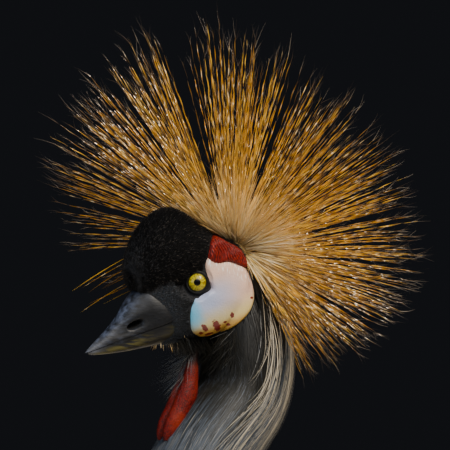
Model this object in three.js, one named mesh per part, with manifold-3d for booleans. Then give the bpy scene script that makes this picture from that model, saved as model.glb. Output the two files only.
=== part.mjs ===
// Grey crowned crane, a still life-size model. Millimetres, +Z up; the bird faces -X and +Y is its right side.

import * as THREE from 'three';
import { mergeVertices } from 'three/addons/utils/BufferGeometryUtils.js';
import Module from 'manifold-3d';

const wasm = await Module();
wasm.setup();

// Gap that neighbouring pieces keep
const GAP = 0.3;

// Head: midpoint between the eyes, downward pitch, and sizes along the forward (f), up (u) and side (y) axes
const EYE_AT = [-140, 905];
const HEAD_PITCH = THREE.MathUtils.degToRad(20);
const BILL_BASE = 40;
const MOUTH_HEIGHT = -20;
const MOUTH_CORNER = 20;
const EYE_RADIUS = 9.7;
const EYE_CENTRE = { forward: -3, up: -1.1, side: 14.8 };
const EYE_TURN = THREE.MathUtils.degToRad(28);
const LID_RADIUS = 7.6;
const LID_THICKNESS = 1.2;
const ORBIT_RADIUS = 8.3;
const CHEEK_RISE = 1.9;
const CREST_ROOT = { forward: -56, up: 7 };
const CREST_PAD_RADIUS = 19;
const CREST_LENGTH = 154;
const CREST_BRISTLES = 230;
const CREST_SPREAD = THREE.MathUtils.degToRad(122);
const BRISTLE_RADIUS = 1.25;
const BRISTLE_SUNK = 5;
const CREST_PARTING = 0.06;

// Trunk: centre, rearward slope of its long axis
const TRUNK_AT = [10, 525];
const TRUNK_SLOPE = THREE.MathUtils.degToRad(19);

// Stations of the head: forward place, top, bottom, half width
const HEAD_STATIONS = [
  [BILL_BASE, 8, -34, 14.6],
  [25, 21, -38, 18.5],
  [10, 28, -40, 20.6],
  [0, 30, -41, 21.8],
  [-12, 31, -40, 24],
  [-25, 29, -36, 25.4],
  [-38, 22, -30, 22.5],
  [-47, 12, -24, 15],
  [-52, -2, -12, 5],
];

// Stations of the velvet cap: forward place, middle height, half height, half width
const CAP_STATIONS = [
  [46.5, 18, 4, 4],
  [43.5, 18, 12.5, 10],
  [38, 19, 20, 16],
  [28, 21, 25.5, 21],
  [14, 21.5, 30, 24.5],
  [0, 22, 31.5, 25.5],
  [-14, 21.5, 30.5, 25.5],
  [-28, 20, 24.5, 24],
  [-38, 18.5, 16, 20],
  [-46, 18, 8, 13],
  [-50, 18, 2, 4],
];

// Stations of the upper bill: forward place, ridge height, half width at the mouth line
const UPPER_BILL_STATIONS = [
  [BILL_BASE + GAP, 8.6, 14],
  [50, 3, 11.5],
  [58, -3.4, 9.6],
  [67, -8.5, 7.5],
  [76, -12.8, 5.7],
  [84, -16.2, 3.8],
  [90, -18.8, 1.9],
];
const BILL_TIP = 91.7;

// Stations of the lower bill: forward place, keel height, half width
const LOWER_BILL_STATIONS = [
  [BILL_BASE + GAP, -33.8, 13.2],
  [50, -32.2, 10.7],
  [60, -30.4, 8.6],
  [72, -27.6, 6.1],
  [82, -24.8, 3.7],
  [88, -22.7, 1.8],
];
const LOWER_BILL_TIP = 89.6;

// Outlines on the side of the head in forward and up sizes
const CHEEK_OUTLINE = [
  [-15.9, 13.4], [-12.4, 8.5], [-11, 3.6], [-9, -5.6], [-1.9, -9.4], [4.7, -10.8], [9.7, -15.1],
  [13.2, -23.7],
  [13, -31.2], [8, -36.6], [-2, -40], [-12, -40.5], [-22, -38.2], [-33.7, -33], [-41, -24.5], [-43.1, -14.2],
  [-42.3, -4.7], [-38.7, -0.3], [-28.4, 7.3],
];
const RED_PATCH_OUTLINE = [
  [-16.8, 13.6], [-28.9, 7.9], [-39.6, 0.2], [-45, -2.4], [-47.5, 6], [-45, 14], [-37, 24], [-29, 31],
  [-23.5, 27], [-19, 20],
];

// Stations of the neck's middle line, from the head down into the breast: x, z, half width, half depth
const NECK_STATIONS = [
  [-98, 918, 20, 22],
  [-92, 884, 26, 27],
  [-88, 852, 30.5, 31],
  [-94, 820, 31.5, 31.5],
  [-121, 784, 33, 33],
  [-149, 732, 34, 34],
  [-165, 678, 37, 38],
  [-163, 622, 44, 47],
  [-137, 574, 53, 58],
  [-92, 545, 58, 64],
];
const NECK_SPLIT = 5;
const PLUME_HALF_WIDTH = 6;

// Stations of the trunk: place along its axis (rear is positive), rise of the middle, half width, half height
const TRUNK_STATIONS = [
  [-172, 10, 12, 14],
  [-160, 9, 36, 40],
  [-120, 6, 62, 70],
  [-60, 1, 74, 84],
  [0, -2, 76, 86],
  [60, 0, 70, 76],
  [120, 8, 54, 56],
  [165, 14, 34, 34],
  [190, 16, 18, 16],
];

// Stations of the folded wings' inner surface: place along the axis, rise, half width, half height
const WING_STATIONS = [
  [-160, 9, 36, 40],
  [-120, 6, 62, 70],
  [-60, 1, 74, 84],
  [0, -2, 76, 86],
  [60, 0, 71, 77],
  [120, 4, 64, 66],
  [180, 3, 58, 54],
  [240, 0, 55, 49],
  [300, -6, 49, 40],
  [360, -16, 41, 30],
  [410, -28, 33, 23],
];

// Stations of a leg from the hip to the foot: x, side, z, half width, half depth
const LEG_STATIONS = [
  [14, 42, 505, 21, 25],
  [19, 44, 452, 25, 32],
  [28, 45.5, 410, 20, 23],
  [34, 46.5, 380, 14, 15],
  [39, 47.5, 352, 9.4, 9.8],
  [45, 49, 300, 7.4, 7.8],
  [50, 50, 252, 8, 8.6],
  [52.5, 50.5, 231, 10, 11.4],
  [50, 51, 208, 7.6, 8.2],
  [38, 52, 160, 6, 6.6],
  [22, 53, 104, 5.7, 6.2],
  [7, 54, 52, 6.4, 7],
  [-1, 54.5, 28, 9.4, 9.6],
  [-5, 54.6, 9, 8.2, 8.6],
];
const HOCK_END = 8;
const THIGH_END = 4;
const TARSUS_END = 11.6;

// Toes: turn from straight ahead (outward positive), length of the toe and of its claw
const TOES = {
  middle: { turn: 4, length: 92, claw: 15 },
  inner: { turn: -36, length: 68, claw: 14 },
  outer: { turn: 42, length: 70, claw: 13 },
  hind: { turn: 176, length: 42, claw: 12 },
};

const colours = {
  slateBill: 0x24262b,
  velvet: 0x0c0a0b,
  charcoal: 0x232429,
  white: 0xe9e6e4,
  red: 0xc23316,
  wattle: 0xc62d12,
  gold: 0xc99a52,
  grey: 0x7d848b,
  darkGrey: 0x5b6066,
  iris: 0xd8c93a,
  chestnut: 0x6a3218,
  black: 0x16161a,
  leg: 0x2b2c30,
  claw: 0x17171a,
};

const GOLDEN_ANGLE = Math.PI * (3 - Math.sqrt(5));

// Section: solids and meshes

// Repeatable numbers between 0 and 1.
function seededRandom(seed) {
  let state = seed;
  return () => {
    state = (state * 16807) % 2147483647;
    return state / 2147483647;
  };
}

// A solid from points and triangles, turned inside out when its volume comes out negative.
function solidFrom(points, triangles) {
  let volume = 0;
  for (const [a, b, c] of triangles) {
    volume += points[a].dot(new THREE.Vector3().crossVectors(points[b], points[c]));
  }
  const outward = volume < 0 ? triangles.map(([a, b, c]) => [a, c, b]) : triangles;
  const vertProperties = new Float32Array(points.flatMap((point) => point.toArray()));
  const triVerts = new Uint32Array(outward.flat());
  return new wasm.Manifold(new wasm.Mesh({ numProp: 3, vertProperties, triVerts }));
}

// A solid from a closed three.js geometry, moved by a matrix.
function solidFromGeometry(geometry, matrix = new THREE.Matrix4()) {
  geometry.deleteAttribute('normal');
  geometry.deleteAttribute('uv');
  const merged = mergeVertices(geometry, 1e-4);
  const points = [];
  for (let i = 0; i < merged.attributes.position.count; i++) {
    points.push(new THREE.Vector3().fromBufferAttribute(merged.attributes.position, i).applyMatrix4(matrix));
  }
  const triangles = [];
  for (let i = 0; i < merged.index.count; i += 3) {
    const [a, b, c] = [0, 1, 2].map((k) => merged.index.getX(i + k));
    if (a !== b && b !== c && c !== a) triangles.push([a, b, c]);
  }
  return solidFrom(points, triangles);
}

// A closed solid through rings of points; a ring of one point is a tip. End rings are capped by a fan from
// their middle. A strip's ring runs along its lower face and back along its upper one: its ends are capped by
// quads between the two, and both faces are split into triangles alike.
function ringSolid(rings, strip = false) {
  const points = [];
  const starts = [];
  for (const ring of rings) {
    starts.push(points.length);
    points.push(...ring);
  }
  const triangles = [];
  for (let i = 0; i + 1 < rings.length; i++) {
    const count = Math.max(rings[i].length, rings[i + 1].length);
    for (let j = 0; j < count; j++) {
      const corner = (ring, step) => starts[ring] + ((j + step) % count) % rings[ring].length;
      if (strip && j >= count / 2) {
        triangles.push([corner(i, 0), corner(i, 1), corner(i + 1, 0)]);
        triangles.push([corner(i, 1), corner(i + 1, 1), corner(i + 1, 0)]);
        continue;
      }
      if (rings[i].length > 1) triangles.push([corner(i, 0), corner(i, 1), corner(i + 1, 1)]);
      if (rings[i + 1].length > 1) triangles.push([corner(i, 0), corner(i + 1, 1), corner(i + 1, 0)]);
    }
  }
  const cap = (ring, start, flip) => {
    if (ring.length < 3) return;
    if (strip) {
      const last = start + ring.length - 1;
      for (let j = 0; j + 1 < ring.length / 2; j++) {
        const [a, b, c, d] = [start + j, start + j + 1, last - j - 1, last - j];
        triangles.push(...(flip ? [[a, c, b], [a, d, c]] : [[a, b, c], [a, c, d]]));
      }
      return;
    }
    const middle = ring.length > 4 ? points.length : start;
    if (ring.length > 4) {
      const sum = ring.reduce((total, point) => total.add(point), new THREE.Vector3());
      points.push(sum.divideScalar(ring.length));
    }
    for (let j = 0; j < ring.length; j++) {
      const [a, b] = [start + j, start + ((j + 1) % ring.length)];
      if (a !== middle && b !== middle) triangles.push(flip ? [middle, b, a] : [middle, a, b]);
    }
  };
  cap(rings[0], starts[0], true);
  cap(rings[rings.length - 1], starts[rings.length - 1], false);
  return solidFrom(points, triangles);
}

// Joins solids two by two, so that no joined solid meets all the others one after another.
function union(solids) {
  if (solids.length === 1) return solids[0];
  const half = Math.ceil(solids.length / 2);
  return union(solids.slice(0, half)).add(union(solids.slice(half)));
}

function cutBy(solid, ...cutters) {
  return cutters.reduce((rest, cutter) => rest.subtract(cutter), solid);
}

// The largest closed surface of a solid, as a named mesh.
function meshOf(name, solid, material) {
  const pieces = solid.decompose().sort((a, b) => b.volume() - a.volume());
  const { vertProperties, triVerts } = pieces[0].getMesh();
  const geometry = new THREE.BufferGeometry();
  geometry.setAttribute('position', new THREE.BufferAttribute(vertProperties, 3));
  geometry.setIndex(new THREE.BufferAttribute(triVerts, 1));
  geometry.computeVertexNormals();
  const mesh = new THREE.Mesh(geometry, material);
  mesh.name = name;
  return mesh;
}

function finish(color, roughness, metalness = 0) {
  return new THREE.MeshStandardMaterial({ color, roughness, metalness });
}

// Section: smooth forms

const mix = THREE.MathUtils.lerp;

// Values between stations, whose first number is the place of each: smooth, or in straight lines.
function profile(stations, Interpolant = THREE.CubicInterpolant) {
  const ordered = stations[0][0] < stations[1][0] ? stations : [...stations].reverse();
  const size = ordered[0].length - 1;
  const places = ordered.map((station) => station[0]);
  const values = ordered.flatMap((station) => station.slice(1));
  const curve = new Interpolant(places, values, size, new Float32Array(size));
  return (place) => Array.from(curve.evaluate(place));
}

// A middle line through stations of x, y, z, half width and half depth, read by station number.
function track(stations) {
  const curve = (points) => new THREE.CatmullRomCurve3(points, false, 'catmullrom');
  const middle = curve(stations.map(([x, y, z]) => new THREE.Vector3(x, y, z)));
  const sizes = curve(stations.map((s) => new THREE.Vector3(s[3], s[4], 0)));
  const last = stations.length - 1;
  return (place) => {
    const t = THREE.MathUtils.clamp(place / last, 0, 1);
    const size = sizes.getPoint(t);
    return { at: middle.getPoint(t), along: middle.getTangent(t), width: size.x, depth: size.y };
  };
}

// Oval section across a middle line; the width runs along `across`, and `fold` raises every second corner.
function ovalRing(at, along, across, width, depth, sides, fold = 0) {
  const up = new THREE.Vector3().crossVectors(along, across).normalize();
  const side = new THREE.Vector3().crossVectors(up, along).normalize();
  return Array.from({ length: sides }, (_, j) => {
    const angle = ((j + 0.5) / sides) * 2 * Math.PI;
    const swell = j % 2 ? 1 + fold : 1 - fold;
    return at.clone().addScaledVector(side, swell * width * Math.cos(angle))
      .addScaledVector(up, swell * depth * Math.sin(angle));
  });
}

// Tube along a track between two places; `grow` swells it on every side and `inset` shortens both ends.
function tube(line, from, to, options) {
  const { rings, sides, grow = 0, inset = 0, fold = 0, across = new THREE.Vector3(0, 1, 0) } = options;
  const list = [];
  for (let i = 0; i <= rings; i++) {
    const { at, along, width, depth } = line(from + ((to - from) * i) / rings);
    const shift = i === 0 ? inset - grow : i === rings ? grow - inset : 0;
    at.addScaledVector(along, shift);
    list.push(ovalRing(at, along, across, width + grow, depth + grow, sides, fold));
  }
  return ringSolid(list);
}

// Section: head

const headMatrix = new THREE.Matrix4()
  .makeBasis(
    new THREE.Vector3(-Math.cos(HEAD_PITCH), 0, -Math.sin(HEAD_PITCH)),
    new THREE.Vector3(-Math.sin(HEAD_PITCH), 0, Math.cos(HEAD_PITCH)),
    new THREE.Vector3(0, 1, 0),
  )
  .setPosition(EYE_AT[0], 0, EYE_AT[1]);

function headPoint(forward, up, side) {
  return new THREE.Vector3(forward, up, side).applyMatrix4(headMatrix);
}

// Rings across the head's forward axis, each an oval given by its middle height, half height and half width.
function headForm(places, sizesAt, sides, grow = 0) {
  return ringSolid(places.map((place, i) => {
    const { middle, height, width } = sizesAt(place);
    const shift = i === 0 ? grow : i === places.length - 1 ? -grow : 0;
    return Array.from({ length: sides }, (_, j) => {
      const angle = ((j + 0.5) / sides) * 2 * Math.PI;
      const up = middle + (height + grow) * Math.sin(angle);
      return headPoint(place + shift, up, (width + grow) * Math.cos(angle));
    });
  }));
}

const headProfile = profile(HEAD_STATIONS);
const capProfile = profile(CAP_STATIONS);
const HEAD_PLACES = [BILL_BASE, 32, 23, 13, 3, -7, -17, -27, -36, -43, -48, -52];
const CAP_PLACES = [46.5, 43.5, 38, 30, 20, 8, -5, -18, -28, -36, -43, -50];

function skull(grow = 0) {
  const sizesAt = (place) => {
    const [top, bottom, width] = headProfile(place);
    return { middle: (top + bottom) / 2, height: (top - bottom) / 2, width };
  };
  return headForm(HEAD_PLACES, sizesAt, 16, grow);
}

function cap(grow = 0) {
  const sizesAt = (place) => {
    const [middle, height, width] = capProfile(place);
    return { middle, height, width };
  };
  return headForm(CAP_PLACES, sizesAt, 16, grow);
}

// A flat outline on the side of the head, drawn out sideways from `from` to `to`.
function sidePrism(outline, from, to) {
  const shape = new THREE.Shape(outline.map(([forward, up]) => new THREE.Vector2(forward, up)));
  const geometry = new THREE.ExtrudeGeometry(shape, { depth: Math.abs(to - from), bevelEnabled: false });
  const slide = new THREE.Matrix4().makeTranslation(0, 0, Math.min(from, to));
  return solidFromGeometry(geometry, headMatrix.clone().multiply(slide));
}

function upperBill(grow = 0) {
  const shape = profile(UPPER_BILL_STATIONS);
  const arc = 8;
  const rings = UPPER_BILL_STATIONS.map(([place], i) => {
    const [ridge, width] = shape(place);
    const shift = i === 0 ? -grow : 0;
    return Array.from({ length: arc + 1 }, (_, j) => {
      const angle = (j / arc) * Math.PI;
      const up = MOUTH_HEIGHT - grow + (ridge - MOUTH_HEIGHT + 2 * grow) * Math.sin(angle) ** 0.85;
      return headPoint(place + shift, up, (width + grow) * Math.cos(angle));
    });
  });
  rings.push([headPoint(BILL_TIP + grow, MOUTH_HEIGHT - 0.6, 0)]);
  return ringSolid(rings);
}

function lowerBill() {
  const shape = profile(LOWER_BILL_STATIONS);
  const arc = 7;
  const top = MOUTH_HEIGHT - GAP;
  const rings = LOWER_BILL_STATIONS.map(([place]) => {
    const [keel, width] = shape(place);
    return Array.from({ length: arc + 1 }, (_, j) => {
      const angle = (j / arc) * Math.PI;
      return headPoint(place, top + (keel - top) * Math.sin(angle) ** 0.8, width * Math.cos(angle));
    });
  });
  rings.push([headPoint(LOWER_BILL_TIP, top - 1, 0)]);
  return ringSolid(rings);
}

// Nostril: a slanting slot on each side of the upper bill.
function nostril(side) {
  const middle = headPoint(48.5, -12.2, side * 11.5);
  const turn = new THREE.Quaternion().setFromAxisAngle(new THREE.Vector3(0, 1, 0), HEAD_PITCH - 0.16);
  const matrix = new THREE.Matrix4().compose(middle, turn, new THREE.Vector3(6.2, 4, 1.9));
  return solidFromGeometry(new THREE.SphereGeometry(1, 10, 6), matrix);
}

// Axes of an eye: its own z axis looks out of the head, turned forward from straight sideways.
function eyeMatrix(side, scale = 1) {
  const centre = headPoint(EYE_CENTRE.forward, EYE_CENTRE.up, side * EYE_CENTRE.side);
  const outward = new THREE.Vector3(-Math.sin(EYE_TURN), side * Math.cos(EYE_TURN), 0);
  const turn = new THREE.Quaternion().setFromUnitVectors(new THREE.Vector3(0, 0, 1), outward);
  return new THREE.Matrix4().compose(centre, turn, new THREE.Vector3(scale, scale, scale));
}

// Front part of an eyeball: a dome over a flat back, turned about the eye's axis.
function eyeball(side, grow = 0) {
  const radius = EYE_RADIUS + grow;
  const steps = 5;
  const backAngle = 1.45;
  const outline = [new THREE.Vector2(0, radius * Math.cos(backAngle) - grow)];
  for (let i = 0; i <= steps; i++) {
    const angle = backAngle * (1 - i / steps);
    const height = radius * Math.cos(angle) - (i === 0 ? grow : 0);
    outline.push(new THREE.Vector2(radius * Math.sin(angle), height));
  }
  outline[outline.length - 1].x = 0;
  const upright = new THREE.Matrix4().makeRotationX(Math.PI / 2);
  return solidFromGeometry(new THREE.LatheGeometry(outline, 14), eyeMatrix(side).multiply(upright));
}

// Rim of the lids round an eye.
function lidRing(side) {
  const height = Math.sqrt(EYE_RADIUS ** 2 - LID_RADIUS ** 2);
  const slide = new THREE.Matrix4().makeTranslation(0, 0, height);
  const ring = new THREE.TorusGeometry(LID_RADIUS, LID_THICKNESS, 4, 14);
  return solidFromGeometry(ring, eyeMatrix(side).multiply(slide));
}

// Round opening in front of an eye, through which the whole iris shows.
function orbit(side, grow = 0) {
  const depth = 14;
  const height = Math.sqrt(EYE_RADIUS ** 2 - LID_RADIUS ** 2) - grow;
  const upright = new THREE.Matrix4().makeRotationX(Math.PI / 2);
  const slide = new THREE.Matrix4().makeTranslation(0, 0, height + depth / 2);
  const geometry = new THREE.CylinderGeometry(ORBIT_RADIUS + grow + 3, ORBIT_RADIUS + grow, depth, 14);
  return solidFromGeometry(geometry, eyeMatrix(side).multiply(slide).multiply(upright));
}

// Groove of the mouth line, from the bill's base back to the corner of the mouth.
function mouthGroove(side) {
  const length = BILL_BASE - MOUTH_CORNER + 2;
  const middle = (BILL_BASE + MOUTH_CORNER + 2) / 2;
  const slide = new THREE.Matrix4().makeTranslation(middle, MOUTH_HEIGHT + 0.2, side * 17);
  return solidFromGeometry(new THREE.BoxGeometry(length, 0.9, 8), headMatrix.clone().multiply(slide));
}

function sidePatch(outline, side, rise) {
  const prism = sidePrism(outline, side * 8, side * 34);
  return cutBy(skull(rise).intersect(prism), skull(GAP));
}

// Two hanging lobes of the throat wattle, side by side and joined along the throat.
function wattle() {
  const lobes = [-1, 1].map((side) => {
    const stations = [
      [EYE_AT[0] + 16, side * 3, EYE_AT[1] - 50, 5, 9],
      [EYE_AT[0] + 10, side * 4, EYE_AT[1] - 62, 6.5, 12],
      [EYE_AT[0] + 3, side * 6, EYE_AT[1] - 78, 8, 14.5],
      [EYE_AT[0] - 4, side * 7, EYE_AT[1] - 94, 8.5, 15],
      [EYE_AT[0] - 11, side * 7.5, EYE_AT[1] - 107, 6.5, 10.5],
      [EYE_AT[0] - 14, side * 7.5, EYE_AT[1] - 113.5, 2.5, 4.5],
    ];
    return tube(track(stations), 0, 5, { rings: 7, sides: 10, fold: 0.07 });
  });
  return union(lobes);
}

// Section: crest

const crestAxis = new THREE.Vector3(0.35, 0, 0.94).normalize();

// Reach of the crest in a direction: longest forward and up, shortest down the nape.
function crestReach(direction) {
  return CREST_LENGTH + 14 * direction.z - 16 * direction.x - 60 * Math.max(0, -direction.z - 0.3);
}

function crestPad(grow = 0) {
  const matrix = new THREE.Matrix4().setPosition(headPoint(CREST_ROOT.forward, CREST_ROOT.up, 0));
  return solidFromGeometry(new THREE.IcosahedronGeometry(CREST_PAD_RADIUS + grow, 1), matrix);
}

// Bristle: a three-sided taper with a slight bend, from inside the root pad out to its tip.
function bristle(root, way, length, bend, turn) {
  const across = new THREE.Vector3().crossVectors(way, bend).normalize();
  const start = CREST_PAD_RADIUS - BRISTLE_SUNK;
  const rings = [[0, 0.9], [0.62, 0.85]].map(([t, size], i) => {
    const at = root.clone().addScaledVector(way, mix(start, length, t)).addScaledVector(bend, 4 * t * t);
    return Array.from({ length: 3 }, (_, j) => {
      const angle = turn + i * 0.8 + (j / 3) * 2 * Math.PI;
      return at.clone().addScaledVector(bend, BRISTLE_RADIUS * size * Math.cos(angle))
        .addScaledVector(across, BRISTLE_RADIUS * size * 0.7 * Math.sin(angle));
    });
  });
  rings.push([root.clone().addScaledVector(way, length).addScaledVector(bend, 4)]);
  return ringSolid(rings);
}

// Whether a bristle may grow this way: none hangs forward over the face, but for a few on the right close to
// the middle plane.
function crestOpen(way) {
  const forward = -way.x;
  const lowest = way.y > 0 && way.y < 0.75 ? -0.3 : 0.3;
  return forward < 0.15 - 0.35 * Math.abs(way.y) || way.z > lowest;
}

// Crest: bristles fanned evenly over the pad in mirrored pairs, each clear of the cap, the head and the neck.
function crest() {
  const random = seededRandom(7);
  const root = headPoint(CREST_ROOT.forward, CREST_ROOT.up, 0);
  const across = new THREE.Vector3(0, 1, 0);
  const up = new THREE.Vector3().crossVectors(across, crestAxis);
  const blockers = union([cap(1.5), skull(CHEEK_RISE + 1.5), neckLength(0, NECK_SPLIT, 1.5)]);
  const pad = crestPad();
  const bristles = [];
  for (let i = 0; i < CREST_BRISTLES; i++) {
    const polar = Math.acos(1 - (1 - Math.cos(CREST_SPREAD)) * ((i + 0.5) / CREST_BRISTLES));
    const turn = i * GOLDEN_ANGLE;
    const way = crestAxis.clone().multiplyScalar(Math.cos(polar))
      .addScaledVector(across, Math.sin(polar) * Math.cos(turn))
      .addScaledVector(up, Math.sin(polar) * Math.sin(turn));
    const bend = new THREE.Vector3(random() - 0.5, random() - 0.5, random() - 0.5);
    bend.projectOnPlane(way).normalize();
    const length = crestReach(way) * (0.88 + 0.14 * random());
    const roll = random() * Math.PI;
    if (way.y < CREST_PARTING) continue;
    for (const side of [-1, 1]) {
      const mirror = new THREE.Vector3(1, side, 1);
      const sideWay = way.clone().multiply(mirror);
      const spike = bristle(root, sideWay, length, bend.clone().multiply(mirror), side * roll);
      if (crestOpen(sideWay) && spike.subtract(pad).intersect(blockers).isEmpty()) bristles.push(spike);
    }
  }
  return union([pad, ...bristles]);
}

// Section: trunk, wings and tail

function trunkPoint(along, rise, side) {
  return new THREE.Vector3(
    TRUNK_AT[0] + Math.cos(TRUNK_SLOPE) * along + Math.sin(TRUNK_SLOPE) * rise,
    side,
    TRUNK_AT[1] - Math.sin(TRUNK_SLOPE) * along + Math.cos(TRUNK_SLOPE) * rise,
  );
}

const trunkProfile = profile(TRUNK_STATIONS);
const wingProfile = profile(WING_STATIONS);

function trunk(grow = 0) {
  const places = [-172, -160, -140, -112, -80, -45, -10, 25, 60, 95, 130, 160, 190];
  return ringSolid(places.map((place, i) => {
    const [rise, width, height] = trunkProfile(place);
    const shift = i === 0 ? -grow : i === places.length - 1 ? grow : 0;
    return Array.from({ length: 22 }, (_, j) => {
      const angle = ((j + 0.5) / 22) * 2 * Math.PI;
      const up = rise + (height + grow) * Math.cos(angle);
      return trunkPoint(place + shift, up, (width + grow) * Math.sin(angle));
    });
  }));
}

// Point on the folded wings: place along the trunk, turn in degrees from the back's ridge, and lift over the
// wings' inner surface.
function wingPoint(along, turn, lift) {
  const [rise, width, height] = wingProfile(along);
  const angle = THREE.MathUtils.degToRad(turn);
  return trunkPoint(along, rise + (height + lift) * Math.cos(angle), (width + lift) * Math.sin(angle));
}

// Shell over the folded wing, through stations of place, first and last turn, lowest and highest height.
function shell(places, stations, side, steps) {
  const sizesAt = profile(stations, THREE.LinearInterpolant);
  const rings = places.map((place) => {
    const [from, to, low, high] = sizesAt(place);
    const turns = Array.from({ length: steps + 1 }, (_, j) => mix(from, to, j / steps));
    const inner = turns.map((turn) => wingPoint(place, side * turn, low));
    const outer = turns.reverse().map((turn) => wingPoint(place, side * turn, high));
    return [...inner, ...outer];
  });
  return ringSolid(rings, true);
}

// Half widths of a feather from root to tip, as shares of its full half width
const BROAD_FEATHER = [0.6, 0.96, 1, 0.86, 0.3];
const NARROW_FEATHER = [0.5, 1, 0.72, 0.12];

// Section of a flight feather: edge, shaft and edge below, and back above over a raised shaft. A small feather
// has no shaft.
const FLIGHT_RING = [[-1, 0], [0, 0], [1, 0], [1, 1], [0, 1.4], [-1, 1]];
const SMALL_RING = [[-1, 0], [1, 0], [1, 1], [-1, 1]];

// One vane over the folded wing. Its root and tip are [place, turn, lift]. One long edge is lifted by `tilt` and
// the other lowered, so that neighbours overlap like roof slates.
function vane(side, root, tip, halfWidth, options = {}) {
  const { tilt = 0, shape = BROAD_FEATHER, ring = FLIGHT_RING, thickness = 0.7 } = options;
  const last = shape.length - 1;
  const rings = shape.map((share, i) => {
    const t = i / last;
    const [place, turn, lift] = [0, 1, 2].map((k) => mix(root[k], tip[k], t));
    const [, across, height] = wingProfile(place);
    const sweep = THREE.MathUtils.radToDeg((halfWidth * share) / ((across + height) / 2));
    return ring.map(([way, rise]) => (
      wingPoint(place, side * (turn + way * sweep), lift + way * tilt + rise * thickness)
    ));
  });
  return ringSolid(rings, true);
}

// A tier of feathers; `at` gives the root, tip and half width of the one at a share of the way through the tier.
function tier(side, count, at, options) {
  return Array.from({ length: count }, (_, i) => {
    const [root, tip, halfWidth] = at(i / (count - 1), i);
    return vane(side, root, tip, halfWidth, options);
  });
}

// How deep the foot of a piece on the trunk reaches under the skin before it is cut back to it
const SUNK = -4;

// The wing's cover, from the shoulder back over the folded flight feathers: place along the trunk, turns it
// spans, lower and upper lift, and the number of the row of feather ends that zigzags there
const COVERT_NOTCH = 13;
const COVER_STATIONS = [
  [-136, 50, 74, SUNK, 5], [-118, 27, 91, SUNK, 10], [-92, 18, 101, SUNK, 12.8],
  [-46, 13, 105, SUNK, 15.8, 1], [-45, 13, 105, SUNK, 13.8, 1],
  [10, 10, 108, SUNK, 15.6], [12, 10, 108, 12.5, 15.6],
  [21, 10, 108, 12.5, 16, 2], [22, 10, 108, 12.5, 14, 2],
  [60, 11, 109, 12.6, 14.8], [98, 14, 110, 12.6, 16, 1],
];

// Black primaries: stacked, from a block under the secondaries out to the wing's tip beside the tail.
function primaries(side) {
  const block = shell([72, 98, 124], [[72, 54, 98, SUNK, 6.1], [124, 44, 98, SUNK, 6.1]], side, 4);
  const feathers = tier(side, 5, (share, i) => [
    [118, mix(54, 86, share), 0.5 + 1.16 * i],
    [mix(398, 316, share), mix(36, 62, share), 0.5 + 1.16 * i],
    12,
  ], { thickness: 0.5 });
  return union([block, ...feathers]);
}

// Chestnut secondaries and the long inner feathers that cover the folded primaries.
function secondaries(side) {
  const block = shell([12, 40, 67, 69, 86, 102], [
    [12, 18, 106, SUNK, 11], [67, 12, 109, SUNK, 11.6], [69, 12, 109, 7, 11.6], [102, 11, 109, 6.8, 11.8],
  ], side, 8);
  const feathers = tier(side, 6, (share) => [
    [98, mix(24, 97, share), 8.9],
    [mix(340, 240, share ** 1.3), mix(22, 96, share), 8.9],
    17,
  ], { tilt: 1.55, thickness: 0.6 });
  return union([block, ...feathers]);
}

// Pale coverts: tiers with zigzag rear edges, and long loose plumes that hang out from under the last tier.
function wingCover(side) {
  const random = seededRandom(11);
  const steps = 14;
  const rings = Array.from({ length: steps + 1 }, (_, j) => {
    const long = j % 2 ? COVERT_NOTCH : 0;
    const points = COVER_STATIONS.map(([place, from, to, low, high, row]) => {
      const at = place + (row === 1 ? long : 0) + (row === 2 ? COVERT_NOTCH - long : 0);
      const turn = side * mix(from, to, j / steps);
      return [wingPoint(at, turn, low), wingPoint(at, turn, high)];
    });
    return [...points.map(([low]) => low), ...points.map(([, high]) => high).reverse()];
  });
  const plumes = tier(side, 8, (share, i) => [
    [100, mix(30, 98, share), 13.2],
    [mix(196, 250, random()), mix(40, 112, share), 13.2 + 0.5 * (i % 2)],
    4.6,
  ], { shape: NARROW_FEATHER, ring: SMALL_RING });
  return union([ringSolid(rings, true), ...plumes]);
}

// Tail feathers lie flat in a stack: how many, the top one's rise over the trunk's axis at root and tip with the
// step down to the next, and where they start and end along the axis
const TAIL_FEATHERS = 10;
const TAIL_RISE = { root: 46.5, tip: 0.5, step: 1.15 };
const TAIL_PLACE = { root: 178, tip: 386 };
const TAIL_THICKNESS = 0.55;

function tailFeather(root, tip, halfWidth) {
  const last = BROAD_FEATHER.length - 1;
  const rings = BROAD_FEATHER.map((share, i) => {
    const [place, across, rise] = [0, 1, 2].map((k) => mix(root[k], tip[k], i / last));
    return FLIGHT_RING.map(([way, up]) => (
      trunkPoint(place, rise + TAIL_THICKNESS * up, across + way * halfWidth * share)
    ));
  });
  return ringSolid(rings, true);
}

// Tail: dark feathers left and right in turn, the middle pair on top, fanned from a block over the rump.
function tail() {
  const block = shell([118, 150, 186], [[118, -32, 32, -24, -2.6], [186, -30, 30, -24, -2.6]], 1, 5);
  const feathers = Array.from({ length: TAIL_FEATHERS }, (_, i) => {
    const way = i % 2 ? 1 : -1;
    const rank = Math.floor(i / 2);
    const root = [TAIL_PLACE.root, way * (2 + 2 * rank), TAIL_RISE.root - TAIL_RISE.step * i];
    const tip = [TAIL_PLACE.tip - 6 * rank, way * (3.5 + 4.1 * rank), TAIL_RISE.tip - TAIL_RISE.step * i];
    return tailFeather(root, tip, 14.5);
  });
  return union([block, ...feathers]);
}

function legTrack(side) {
  return track(LEG_STATIONS.map(([x, y, z, width, depth]) => [x, side * y, z, width, depth]));
}

function toeWay(side, turn) {
  const angle = THREE.MathUtils.degToRad(turn);
  return new THREE.Vector3(-Math.cos(angle), side * Math.sin(angle), 0);
}

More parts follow.
